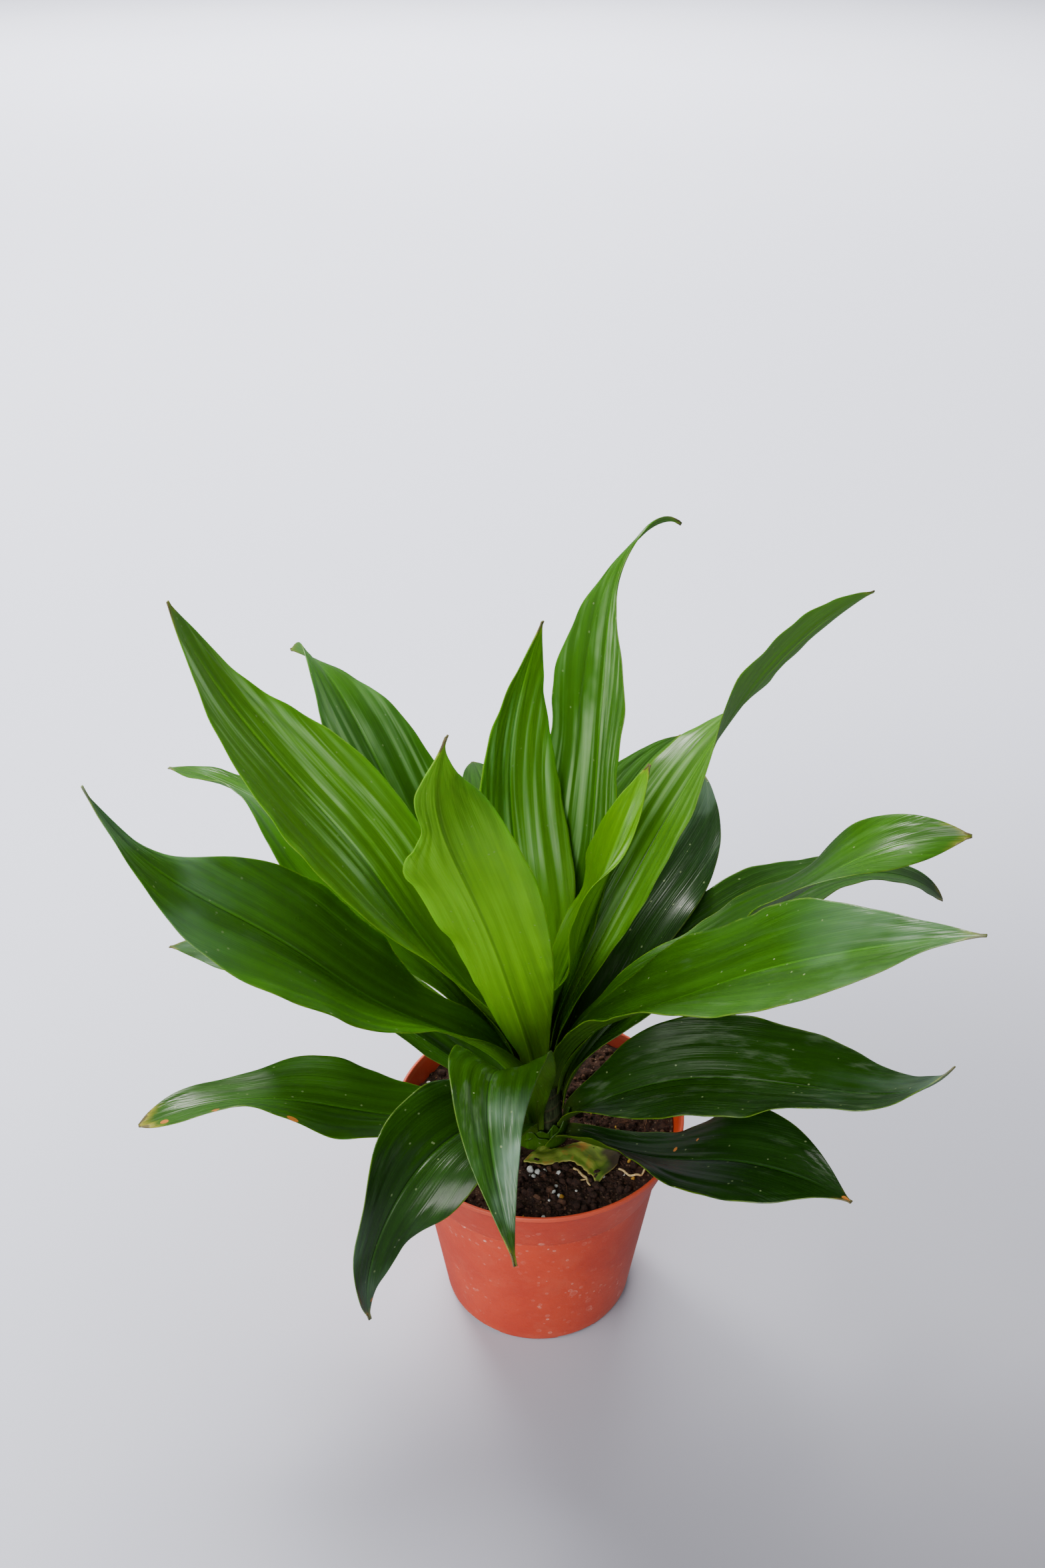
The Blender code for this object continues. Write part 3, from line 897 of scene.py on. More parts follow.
def leaf_look(name, skin, form, seed):
    """A pleated leaf: streaked green, a dark midrib, a pale margin, an underside made paler and
    brighter as painted light shining through, painted sheen along the folds and on hanging tips, a
    dried tip and dust.
    """
    look = Look(name)
    blade_map = look.node("ShaderNodeUVMap", {"uv_map": "Blade"}, {})
    size_map = look.node("ShaderNodeUVMap", {"uv_map": "Size"}, {})
    face_map = look.node("ShaderNodeUVMap", {"uv_map": "Face"}, {})
    share = look.part(blade_map, 0)
    across = look.part(blade_map, 1) * 2 - 1
    edge = abs(across)
    along_m = look.part(size_map, 0)
    across_m = look.part(size_map, 1)
    from_rib = abs(across_m)
    under = look.part(face_map, 0)

    bands = look.noise(look.joined(along_m * 9, across_m * 330, seed), 1.0, 2.0)
    veins = look.noise(look.joined(along_m * 22, across_m * 1500, seed + 5), 1.0, 1.0)
    patches = look.noise(look.joined(along_m * 22, across_m * 45, seed + 9), 1.0, 3.0)
    mottle = look.noise(look.joined(along_m * 140, across_m * 200, seed + 13), 1.0, 4.0, 0.6)

    dark, light = mixed(form, skin.age)
    colour = look.blend(bands.above(0.36, 0.28), dark, light)
    colour = look.tinted(colour, 0.72 + patches * 0.56)
    colour = look.tinted(colour, 0.90 + veins * 0.2)
    colour = look.tinted(colour, 0.93 + mottle * 0.14)
    rib = from_rib.below(0.0002, 0.0008) * share.below(0.80, 0.18)
    line = form.rib_dark if skin.age < 0.15 else tuple(min(c * 2.0, 1.0) for c in light)
    colour = look.blend(rib * (0.45 + under * 0.25), colour, line)
    # Painted highlight: a pale sheen painted in streaks along the folds of the upper face, where a
    # light's glints would fall.
    place, spread, strength = skin.painted_sheen
    painted_sheen_mask = (abs(share - place) / spread).below(0.45, 0.55) * bands.above(0.44, 0.22)
    painted_sheen_mask = painted_sheen_mask * patches.above(0.34, 0.25) * edge.below(0.75, 0.25) * (1 - under)
    colour = look.blend(painted_sheen_mask * strength, colour, form.painted_sheen_colour)
    # The underside is paler, and this colour is also brighter as painted light shining through the
    # blade.
    colour = look.blend(under * 0.30, colour, form.underside_and_glow_colour)

    base = share.below(0.01, 0.09)
    colour = look.blend(base * 0.5, colour, form.base_colour)
    margin = edge.above(0.97, 0.025) * mottle.above(0.35, 0.2)
    colour = look.blend(margin * 0.45, colour, form.margin_colour)

    ragged = share + (mottle - 0.5) * 0.05 + (bands - 0.5) * 0.07 + edge * 0.03
    colour = look.blend(ragged.above(1 - skin.yellow_tip, 0.08) * 0.85, colour, form.yellow)
    dry = ragged.above(1.005 - skin.dry_tip, 0.012)
    colour = look.blend(dry, colour, form.dry_colour)
    # Painted bluish sheen on the hanging tips, in patches, mixed with a dusty film.
    bloom = patches.above(0.42, 0.2) * share.above(0.62, 0.2) * skin.bloom
    colour = look.blend(bloom, colour, form.tip_sheen_and_film_colour)
    for place, side, length, width in skin.flecks:
        away = ((share - place) / length) ** 2.0 + ((across - side) / width) ** 2.0
        colour = look.blend((away + mottle * 0.8).below(1.1, 0.25), colour, form.fleck_colour)

    specks = look.cells(look.joined(along_m * 260, across_m * 330, seed + 21), 1.0)
    pick = look.cell_shade(look.joined(along_m * 260, across_m * 330, seed + 21), 1.0)
    speck = specks.below(0.10, 0.07) * pick.above(0.80, 0.02)
    colour = look.blend(speck * (0.25 + 0.5 * skin.dust), colour, form.speck_colour)
    scuffs = look.noise(look.joined(along_m * 45, across_m * 190, seed + 31), 1.0, 5.0, 0.65)
    dust = scuffs.above(0.60 - 0.12 * skin.dust, 0.16) * skin.dust * (1 - under)
    colour = look.blend(dust * 0.28, colour, form.dust_colour)

    rough = form.roughness + (patches - 0.5) * 0.12 + under * 0.10 + dry * 0.3
    look.set(Base_Color=colour, Roughness=rough + dust * 0.25 + mottle * 0.06)
    height = veins * 0.7 + mottle * 0.3 - rib * 1.2 + dry * mottle * 2.0
    look.set(Normal=look.bump(height, form.vein_depth))
    look.set(Subsurface_Weight=form.glow * (1.3 - skin.age), Subsurface_Radius=(0.7, 1.0, 0.1))
    look.set(Subsurface_Scale=0.0015, Specular_IOR_Level=0.42)
    return look


def mixed(form, age):
    """The dark and the light green of a leaf of this age, 0 newest to 1 oldest."""
    stops = (form.young_colour, form.middle_colour, form.old_colour)
    place = age * (len(stops) - 1)
    first = min(int(place), len(stops) - 2)
    f = place - first
    body = [a + (b - a) * f for a, b in zip(stops[first], stops[first + 1])]
    dark = tuple(c * (1 - form.streak) for c in body)
    light = tuple(min(c * (1 + form.streak), 1.0) for c in body)
    return dark, light


def leaf_piece(leaf, skin, form):
    share = np.linspace(0, 1, STATIONS)
    rows = blade(leaf, share, skin.creased, form)
    width = 2 * HALF_STRIPS + 1
    edge = np.linspace(-1, 1, width)
    steps = np.linalg.norm(np.diff(rows, axis=1), axis=-1)
    reach = np.concatenate([np.zeros((STATIONS, 1)), np.cumsum(steps, 1)], 1)
    reach = reach - reach[:, HALF_STRIPS : HALF_STRIPS + 1]
    along = np.broadcast_to((share * leaf.length)[:, None], reach.shape)
    taper = 1 - 0.5 * np.abs(edge) ** 10
    half = np.broadcast_to(BLADE / 2 * taper, reach.shape)
    keel = form.keel * np.exp(-((reach / 0.0011) ** 2)) * (1 - share[:, None]) ** 0.7
    groove = 0.3 * form.keel * np.exp(-((reach / 0.0007) ** 2)) * (1 - share[:, None])
    spread = np.stack([along, reach], -1)
    mesh = thick_sheet(leaf.name, rows, half - groove, half + keel, share, spread)
    look = leaf_look(leaf.name, skin, form, leaf.heading * 0.13)
    return shown("fine_" + leaf.name, mesh, look, skin.slot, leaf.name)


def torn_leaf_look(form):
    """Limp yellow-green tissue, scorched in places, that dries out at its ragged end."""
    look = Look("torn_leaf")
    blade_map = look.node("ShaderNodeUVMap", {"uv_map": "Blade"}, {})
    size_map = look.node("ShaderNodeUVMap", {"uv_map": "Size"}, {})
    share = look.part(blade_map, 0)
    across = look.part(blade_map, 1)
    along_m = look.part(size_map, 0)
    across_m = look.part(size_map, 1)
    bands = look.noise(look.joined(along_m * 30, across_m * 260, 1.0), 1.0, 2.0)
    patches = look.noise(look.place, 130, 3.0, 0.6)
    mottle = look.noise(look.place, 700, 4.0, 0.65)
    colour = look.blend(bands.above(0.35, 0.3), form.torn_dark, form.torn_light)
    colour = look.tinted(colour, 0.75 + patches * 0.5)
    colour = look.tinted(colour, 0.88 + mottle * 0.24)
    scorch = patches.above(0.52, 0.14) * share.above(0.08, 0.15) * share.below(0.62, 0.15)
    colour = look.blend(scorch * 0.7, colour, form.fleck_colour)
    ragged = share + (patches - 0.5) * 0.18 + (across - 0.5) * 0.10
    colour = look.blend(ragged.above(0.80, 0.10) * 0.9, colour, form.torn_dead)
    rim = across.below(0.02, 0.06) * 0.5 + across.above(0.93, 0.06) * 0.5
    colour = look.blend(rim, colour, form.yellow)
    look.set(Base_Color=colour, Roughness=0.42 + mottle * 0.25)
    look.set(Normal=look.bump(bands * 0.4 + mottle * 0.4, 0.0002))
    look.set(Subsurface_Weight=form.glow, Subsurface_Radius=(0.6, 1.0, 0.25))
    look.set(Subsurface_Scale=0.0015)
    return look


def torn_leaf_piece(form):
    """The limp leaf on the soil: crumpled across, and frayed along both edges and its end."""
    stations = 96
    width = 25
    share = np.linspace(0, 1, stations)
    edges = spline(TORN_EDGES, share)
    across = np.linspace(0, 1, width)
    rows = np.zeros((stations, width, 3))
    thick = np.zeros((stations, width))
    for i, (front, back) in enumerate(edges):
        for j, side in enumerate(across):
            x, y = front + (back - front) * side
            fray = 0.0009 * noise.noise((x * 420, y * 420, 2.0)) * abs(2 * side - 1) ** 3
            x, y = x + fray * 0.7, y + fray * 1.3
            crumple = 0.0007 * noise.noise((x * 210, y * 210, 5.0))
            rise = TORN_LIFT + TORN_ARCH * math.sin(math.pi * side) + crumple
            curl = 0.0012 * abs(2 * side - 1) ** 4 * noise.noise((share[i] * 9, side, 7.0))
            rows[i, j] = (x, y, max(soil_top(x, y) + 0.0009, soil_top(x, y) + rise + curl))
            thick[i, j] = BLADE / 2 * (1 - 0.5 * abs(2 * side - 1) ** 6)
    steps = np.linalg.norm(np.diff(rows, axis=1), axis=-1)
    reach = np.concatenate([np.zeros((stations, 1)), np.cumsum(steps, 1)], 1)
    walked = np.cumsum(np.linalg.norm(np.diff(rows[:, width // 2], axis=0), axis=-1))
    along = np.broadcast_to(np.concatenate([[0], walked])[:, None], reach.shape)
    mesh = thick_sheet("torn", rows, thick, thick, share, np.stack([along, reach], -1))
    look = torn_leaf_look(form)
    return shown("fine_leaf_torn", mesh, look, "leaf_torn", "leaf_torn")


def inner_radius(height):
    """The pot's inner wall, which the soil follows."""
    heights = (FLOOR_TOP, CREASE_HEIGHT, POT_HEIGHT)
    radii = (FOOT_RADIUS - WALL, CREASE_RADIUS - WALL, RIM_RADIUS - LIP)
    return float(np.interp(height, heights, radii))


def soil_top(x, y):
    """Height of the soil: level by the cane, higher out to the wall, with a mound and a dip."""
    radius = math.hypot(x, y)
    slope = min(max((radius - CANE_BARE) / SLOPE_RUN, 0), 1)
    height = SOIL_CENTRE + (SOIL_EDGE - SOIL_CENTRE) * slope
    for place_x, place_y, rise, spread in SWELLINGS:
        away = (x - place_x) ** 2 + (y - place_y) ** 2
        height += rise * math.exp(-away / (2 * spread**2))
    lumps = noise.noise((x * 160, y * 160, 3.0)) + 0.5 * noise.noise((x * 390, y * 390, 9.0))
    return height + SOIL_LUMPINESS * lumps * slope


def crumbly(x, y):
    """The soil's own small relief, which dies out at the cane."""
    fine = noise.fractal((x * 420, y * 420, 1.0), 0.8, 2.2, 5)
    pits = noise.noise((x * 900, y * 900, 6.0))
    calm = min(max((math.hypot(x, y) - CANE_BARE) / 0.006, 0), 1)
    return (0.0009 * fine + 0.0003 * pits) * calm


def soil_look(form):
    """Damp potting mix: dark peat with paler dry crumbs and bark-brown fibres."""
    look = Look("soil")
    mottle = look.noise(look.place, 420, 6.0, 0.7)
    patches = look.noise(look.place, 55, 3.0, 0.6)
    grit = look.cells(look.place, 900)
    pick = look.cell_shade(look.place, 900)
    colour = look.blend(mottle.above(0.38, 0.25), form.dark, form.brown)
    colour = look.blend(patches.above(0.50, 0.2) * 0.5, colour, form.dry)
    colour = look.blend(grit.below(0.35, 0.2) * pick.above(0.84, 0.03) * 0.6, colour, form.pale)
    colour = look.tinted(colour, 0.6 + look.noise(look.place, 1500, 3.0) * 0.8)
    rough = 0.80 + mottle * 0.2 - patches.below(0.36, 0.1) * 0.15
    look.set(Base_Color=colour, Roughness=rough)
    look.set(Normal=look.bump(mottle * 0.8 + grit * 0.4, 0.0007), Specular_IOR_Level=0.25)
    return look


def soil_piece(form):
    """The soil body, closed under its crumbly top, that fills the pot to its floor."""
    hole = CANE_RADII[0][1] + GAP
    bottom = FLOOR_TOP + GAP
    below = CANE_FOOT - GAP
    edge_radius = inner_radius(SOIL_EDGE) - GAP
    rings = [(hole, None)]
    rings += [(hole + (edge_radius - hole) * k / SOIL_RINGS, None) for k in range(1, SOIL_RINGS)]
    wall = np.linspace(SOIL_EDGE - 0.002, bottom + 0.0011, 24)
    rings += [(edge_radius, None)]
    rings += [(inner_radius(z) - GAP, z) for z in wall]
    rings += [(inner_radius(bottom) - GAP - 0.0011, bottom)]
    points = []
    for radius, height in rings:
        for k in range(SOIL_STEPS):
            x, y = on_ring(radius, 360 * k / SOIL_STEPS)
            z = soil_top(x, y) + crumbly(x, y) if height is None else height
            points.append((x, y, z))
    for k in range(SOIL_STEPS):
        points.append((*on_ring(hole, 360 * k / SOIL_STEPS), below))
    floor_middle = len(points)
    points += [(0, 0, bottom), (0, 0, below)]
    faces = []
    count = len(rings)
    for k in range(SOIL_STEPS):
        after = (k + 1) % SOIL_STEPS
        for ring in range(count - 1):
            a, b = ring * SOIL_STEPS, (ring + 1) * SOIL_STEPS
            faces.append((a + k, b + k, b + after, a + after))
        faces.append(((count - 1) * SOIL_STEPS + k, floor_middle, (count - 1) * SOIL_STEPS + after))
        faces.append((count * SOIL_STEPS + k, k, after, count * SOIL_STEPS + after))
        faces.append((floor_middle + 1, count * SOIL_STEPS + k, count * SOIL_STEPS + after))
    mesh = bpy.data.meshes.new("soil_body")
    mesh.from_pydata(points, [], faces)
    mesh.shade_smooth()
    return shown("fine_soil", mesh, soil_look(form), "soil", "soil")


def pebble_look(name, pale, shade, rough, bumpy):
    """A grain or crumb of one kind, pitted and dusty."""
    look = Look(name)
    mottle = look.noise(look.place, 900, 5.0, 0.65)
    patches = look.noise(look.place, 160, 2.0)
    colour = look.blend(mottle.above(0.35, 0.3), shade, pale)
    colour = look.tinted(colour, 0.75 + patches * 0.5)
    look.set(Base_Color=colour, Roughness=rough - mottle * 0.1)
    look.set(Normal=look.bump(mottle, bumpy), Specular_IOR_Level=0.3)
    return look


def pebbles(name, look, places, seed, flat=0.7, rough=0.35):
    """One mesh of uneven grains: each place is x, y, size, and it sinks a third into the soil."""
    rng = np.random.default_rng(seed)
    shape = bmesh.new()
    bmesh.ops.create_icosphere(shape, subdivisions=2, radius=1)
    ball = np.array([v.co for v in shape.verts])
    faces = np.array([[v.index for v in face.verts] for face in shape.faces])
    shape.free()
    points, corners = [], []
    for x, y, size in places:
        tilt = np.linalg.qr(rng.normal(size=(3, 3)))[0]
        squeeze = np.array([1, rng.uniform(0.6, 1), rng.uniform(flat * 0.8, 1)])
        offset = rng.uniform(0, 50)
        lumps = [1 + rough * noise.noise(Vector(p) * 1.6 + Vector((offset, 0, 0))) for p in ball]
        grain = ball * np.array(lumps)[:, None] * squeeze * size @ (tilt * np.linalg.det(tilt))
        grain[:, 2] += soil_top(x, y) + size * 0.3
        grain[:, :2] += (x, y)
        corners.append(faces + len(points) * len(ball))
        points.append(grain)
    mesh = bpy.data.meshes.new(name)
    mesh.from_pydata(np.concatenate(points), [], np.concatenate(corners))
    mesh.shade_smooth()
    return shown(name, mesh, look, "soil")


def scattered(count, seed, small, large, inside=0.018):
    """Places for grains over the soil, more of them small than large."""
    rng = np.random.default_rng(seed)
    places = []
    for k in range(count):
        radius = math.sqrt(inside**2 + (0.0588**2 - inside**2) * (k + 0.5) / count)
        size = small + (large - small) * rng.uniform() ** 3
        x, y = on_ring(radius - size * 0.8, 137.5 * k + rng.uniform(-25, 25))
        places.append((x, y, size))
    return places


def strands(name, look, paths):
    """Thin roots or fibres as closed tubes: each path is a radius and its points."""
    sides = 8
    points, faces = [], []
    for radius, route in paths:
        route = spline(route, np.linspace(0, 1, 10 * len(route)))
        along = np.gradient(route, axis=0)
        along /= np.linalg.norm(along, axis=1, keepdims=True)
        aside = np.cross(along, (0, 0, 1))
        aside /= np.linalg.norm(aside, axis=1, keepdims=True) + 1e-9
        up = np.cross(aside, along)
        first = len(points)
        for k, centre in enumerate(route):
            wide = radius * (0.85 + 0.3 * noise.noise(Vector(centre) * 500))
            wide *= 1 - 0.6 * (k / len(route)) ** 3
            for side in range(sides):
                turn = math.tau * side / sides
                points.append(centre + wide * (math.cos(turn) * aside[k] + math.sin(turn) * up[k]))
        for k in range(len(route) - 1):
            a = first + k * sides
            for side in range(sides):
                after = (side + 1) % sides
                faces.append((a + side, a + after, a + sides + after, a + sides + side))
        faces.append(tuple(first + side for side in reversed(range(sides))))
        faces.append(tuple(first + (len(route) - 1) * sides + side for side in range(sides)))
    mesh = bpy.data.meshes.new(name)
    mesh.from_pydata(points, [], faces)
    mesh.shade_smooth()
    return shown(name, mesh, look, "soil")


def lying(route, lift=0.0006):
    """A route over the soil from its x, y places."""
    return [(x, y, soil_top(x, y) + lift) for x, y in route]


def root_pieces(form):
    look = pebble_look("roots", form.root_pale, form.root_dark, 0.75, 0.0003)
    paths = [
        (0.00075, lying(ROOT_FRONT, 0.0010)),
        (0.00045, lying(ROOT_BRANCH, 0.0010)),
        (0.00060, [(*place, RIM_LOOP_HEIGHT + 0.001 * (k % 2)) for k, place in enumerate(ROOT_LOOP)]),
    ]
    strands("roots", look, paths)
    rng = np.random.default_rng(11)
    fibres = []
    for k in range(form.fibres):
        x, y = on_ring(rng.uniform(0.022, 0.055), rng.uniform(0, 360))
        if k % 3 == 0:
            x, y = 0.046 + rng.uniform(-0.010, 0.008), rng.uniform(-0.014, 0.028)
        heading = rng.uniform(0, math.tau)
        reach = rng.uniform(0.003, 0.009)
        bend = rng.uniform(-1.2, 1.2)
        route = []
        for step in np.linspace(0, 1, 5):
            x += reach / 5 * math.cos(heading + bend * step)
            y += reach / 5 * math.sin(heading + bend * step)
            if math.hypot(x, y) > 0.057:
                break
            route.append((x, y))
        if len(route) > 2:
            lift = 0.0004 + rng.uniform(0, 0.0009)
            fibres.append((rng.uniform(0.00010, 0.00022), lying(route, lift)))
    brown = pebble_look("fibres", form.fibre_pale, form.fibre_dark, 0.8, 0.0002)
    strands("soil_fibres", brown, fibres)


def grain_pieces(form):
    crumbs = pebble_look("crumbs", form.brown, form.dark, 0.95, 0.0008)
    pebbles("soil_crumbs", crumbs, scattered(form.crumbs, 3, 0.0006, 0.0024), 5)
    bark = pebble_look("bark", form.dry, form.brown, 0.85, 0.0006)
    pebbles("bark_bits", bark, scattered(form.crumbs // 5, 8, 0.0006, 0.0021, 0.026), 9, 0.35)
    white = pebble_look("perlite", form.perlite_pale, form.perlite_shade, 0.8, 0.0003)
    loose = scattered(form.perlite, 12, 0.0005, 0.0014, 0.024)
    pebbles("perlite", white, [*PERLITE, *loose], 13)
    yellow = pebble_look("yellow_grains", form.grain_pale, form.grain_shade, 0.6, 0.0002)
    loose = scattered(form.perlite // 2, 15, 0.0005, 0.0012, 0.022)
    pebbles("yellow_grains", yellow, [*YELLOW_GRAINS, *loose], 17)


def pot_look(form):
    """Moulded plastic with a satin skin, dried water rings, dust and rubbed edges."""
    look = Look("pot")
    height = look.part(look.place, 2)
    side = look.part(look.place, 0)
    depth = look.part(look.place, 1)
    radius = (side**2.0 + depth**2.0) ** 0.5
    outside = (radius - (POT_INSIDE_FOOT + POT_FLARE * height)).above(0.0, 0.0003)
    patches = look.noise(look.place, 28, 4.0, 0.6)
    cloud = look.noise(look.place, 75, 5.0, 0.65, 0.4)
    fine = look.noise(look.place, 1400, 3.0, 0.6)
    colour = look.blend(patches.above(0.35, 0.3), form.shade, form.body)
    colour = look.tinted(colour, 0.94 + fine * 0.12)
    worn = look.blend(cloud.above(0.50, 0.16) * form.dust * 0.55, colour, form.bloom)
    lip = height.above(POT_HEIGHT - 0.0028, 0.0010)
    worn = look.blend(lip * 0.35, worn, form.bloom)
    rings = 0.0
    for scale, start, share in ((130, 0.0, 0.5), (210, 4.0, 0.8), (330, 9.0, 1.0)):
        shifted = look.joined(side + start, depth + start, height + start)
        away = look.cells(shifted, scale)
        pick = look.cell_shade(shifted, scale)
        size = 0.10 + 0.16 * pick
        mark = (away - size).below(0.0, 0.03) * (away - size).above(-0.08, 0.05)
        spot = (away - size).below(-0.05, 0.04) * 0.35
        rings = rings + (mark + spot) * pick.above(1 - form.spotted * share, 0.02)
    wet = look.noise(look.place, 26, 2.0).above(0.40, 0.22)
    rings = rings * cloud.above(0.30, 0.5) * wet
    worn = look.blend(rings * 0.85, worn, form.water)
    scrape = look.noise(look.joined(side * 3, depth * 3, height * 1.0), 300, 2.0)
    crease = abs(height - CREASE_HEIGHT).below(0.0004, 0.0010)
    worn = look.blend(crease * scrape.above(0.45, 0.2) * 0.55, worn, form.bloom)
    foot = height.below(0.001, 0.006)
    worn = look.blend(foot * cloud.above(0.35, 0.3) * 0.35, worn, form.bloom)
    # The inner wall is drawn darker than the outside, in cloudy patches.
    inner_wall_tone = look.blend(cloud.above(0.4, 0.2) * 0.4, form.inside, form.shade)
    colour = look.blend(outside, inner_wall_tone, worn)
    rough = form.roughness + (cloud - 0.5) * 0.16 + rings * 0.20 + fine * 0.06
    look.set(Base_Color=colour, Roughness=rough, Specular_IOR_Level=0.5)
    grainy = fine * 0.5 + look.noise(look.place, 240, 2.0) * 0.8 + rings * 0.4
    look.set(Normal=look.bump(grainy, 0.00018))
    look.set(Subsurface_Weight=0.08, Subsurface_Radius=(1.0, 0.25, 0.12))
    look.set(Subsurface_Scale=0.0012)
    return look


def turned(name, profile, steps):
    """A profile of (radius, height) points, running down its outer side, turned about Z."""
    mesh = bpy.data.meshes.new(name)
    points = [(radius, 0, height) for radius, height in profile]
    mesh.from_pydata(points, [(k, k + 1) for k in range(len(points) - 1)], [])
    obj = bpy.data.objects.new(name, mesh)
    bpy.context.scene.collection.objects.link(obj)
    screw = obj.modifiers.new("turn", "SCREW")
    screw.axis = "Z"
    screw.angle = math.tau
    screw.steps = steps
    screw.render_steps = steps
    screw.use_merge_vertices = True
    screw.merge_threshold = 1e-5
    return obj


def pot_profile():
    step = 0.0007
    ring_inside = FOOT_RADIUS - 0.007
    pad = 0.0125
    lip = [
        (RIM_RADIUS - 0.0006 + 0.0006 * math.sin(t), POT_HEIGHT - 0.0006 + 0.0006 * math.cos(t))
        for t in np.linspace(0, math.pi / 2, 6)
    ]
    under_lip = (RIM_RADIUS - 0.0005, POT_HEIGHT - 0.0023)
    foot = (CREASE_RADIUS + step, CREASE_HEIGHT + step)
    collar = [
        tuple(a + (b - a) * k / 12 for a, b in zip(under_lip, foot))
        for k in range(13)
    ]
    crease = (CREASE_RADIUS + 0.0001, CREASE_HEIGHT)
    wall_foot = (FOOT_RADIUS, 0.002)
    wall = [tuple(a + (b - a) * k / 24 for a, b in zip(crease, wall_foot)) for k in range(25)]
    return [
        (0, FLOOR_TOP),
        (inner_radius(FLOOR_TOP) - step, FLOOR_TOP),
        (inner_radius(FLOOR_TOP + step), FLOOR_TOP + step),
        (inner_radius(CREASE_HEIGHT), CREASE_HEIGHT),
        (RIM_RADIUS - LIP, POT_HEIGHT - 0.0006),
        (RIM_RADIUS - LIP + 0.0002, POT_HEIGHT - 0.0002),
        (RIM_RADIUS - LIP + 0.0005, POT_HEIGHT),
        *lip,
        (RIM_RADIUS, POT_HEIGHT - 0.0019),
        *collar,
        *wall,
        (FOOT_RADIUS - 0.0002, 0.0012),
        (FOOT_RADIUS - 0.0006, 0.0004),
        (FOOT_RADIUS - 0.0014, 0),
        (ring_inside, 0),
        (ring_inside - RECESS, RECESS),
        (pad + RECESS, RECESS),
        (pad, 0),
        (0, 0),
    ]


def pot_piece(form):
    """The pot, with its drainage holes and the notches of its foot cut through."""
    body = turned("fine_pot", pot_profile(), POT_STEPS)
    tools = []
    for k in range(DRAIN_COUNT):
        shape = bmesh.new()
        bmesh.ops.create_cone(
            shape,
            cap_ends=True,
            segments=48,
            radius1=DRAIN_RADIUS,
            radius2=DRAIN_RADIUS,
            depth=FLOOR_TOP * 3,
        )
        place = (*on_ring(DRAIN_RING, 360 / DRAIN_COUNT * k), FLOOR_TOP / 2)
        tools.append((shape, place, 0))
    reach = 0.013
    for k in range(NOTCH_COUNT):
        heading = NOTCH_FIRST + 360 / NOTCH_COUNT * k
        shape = bmesh.new()
        bmesh.ops.create_cube(shape, size=1)
        bmesh.ops.scale(shape, vec=(reach, NOTCH_WIDTH, NOTCH_HEIGHT * 2), verts=shape.verts)
        tools.append((shape, (*on_ring(FOOT_RADIUS - 0.0035, heading), 0), math.radians(heading)))
    cutters = []
    for shape, place, turn in tools:
        mesh = bpy.data.meshes.new("cutter")
        shape.to_mesh(mesh)
        shape.free()
        tool = bpy.data.objects.new("cutter", mesh)
        tool.location = place
        tool.rotation_euler = (0, 0, turn)
        bpy.context.scene.collection.objects.link(tool)
        boolean = body.modifiers.new("cut", "BOOLEAN")
        boolean.operation = "DIFFERENCE"
        boolean.object = tool
        cutters.append(tool)
    graph = bpy.context.evaluated_depsgraph_get()
    mesh = bpy.data.meshes.new_from_object(body.evaluated_get(graph))
    for obj in [body, *cutters]:
        bpy.data.objects.remove(obj, do_unlink=True)
    mesh.materials.clear()
    mesh.shade_smooth()
    mesh.set_sharp_from_angle(angle=math.radians(32))
    return shown("fine_pot", mesh, pot_look(form), "pot", "pot")


def cane_look(form):
    """Bare cane: a grey-green skin with lengthwise cracks, and brown scars in rings."""
    look = Look("cane")
    height = look.part(look.place, 2)
    side = look.part(look.place, 0)
    depth = look.part(look.place, 1)
    cracks = look.noise(look.joined(side, depth, height * 0.12), 900, 4.0, 0.65)
    patches = look.noise(look.place, 180, 3.0)
    rings = (height * (math.tau / 0.006)).wave().above(0.65, 0.3)
    colour = look.blend(cracks.above(0.38, 0.25), form.cane_dark, form.cane_pale)
    colour = look.tinted(colour, 0.75 + patches * 0.5)
    colour = look.blend(rings * 0.6, colour, form.scar)
    look.set(Base_Color=colour, Roughness=0.62 + cracks * 0.25)
    look.set(Normal=look.bump(cracks * 0.8 + rings * 0.5, 0.0004))
    return look


def sheath_pieces(form):
    """The dusty sheaths that lost leaves left round the foot of the cane."""
    share = np.linspace(0, 1, 24)
    edge = np.linspace(-1, 1, 33)
    for k, (heading, foot, rise, reach) in enumerate(SHEATHS):
        seed = 3.7 * k
        rows = np.zeros((len(share), len(edge), 3))
        for j, e in enumerate(edge):
            top = rise * (1 - 0.45 * e**2) * (0.9 + 0.25 * noise.noise((e * 3, seed, 0)))
            for i, s in enumerate(share):
                height = foot + top * s
                out = cane_radius(height) + 0.0016 + 0.0005 * k + 0.0012 * s**2
                out += 0.0004 * noise.noise((e * 4, s * 3, seed))
                x, y = on_ring(out, heading + reach * e * (1 - 0.25 * s**2))
                rows[i, j] = (x, y, height)
        across = np.broadcast_to(edge * 0.012, rows.shape[:2])
        along = np.broadcast_to((share * rise)[:, None], rows.shape[:2])
        half = np.full(rows.shape[:2], BLADE / 2) * (1 - 0.5 * np.abs(edge) ** 6)
        spread = np.stack([along, across], -1)
        mesh = thick_sheet("sheath", rows, half, half, 0.2 + 0.4 * share, spread)
        skin = Skin("cane", 0.85, bloom=0.4, dust=0.8)
        look = leaf_look("sheath", skin, form, seed)
        shown(f"sheath_{k + 1}", mesh, look, "cane")


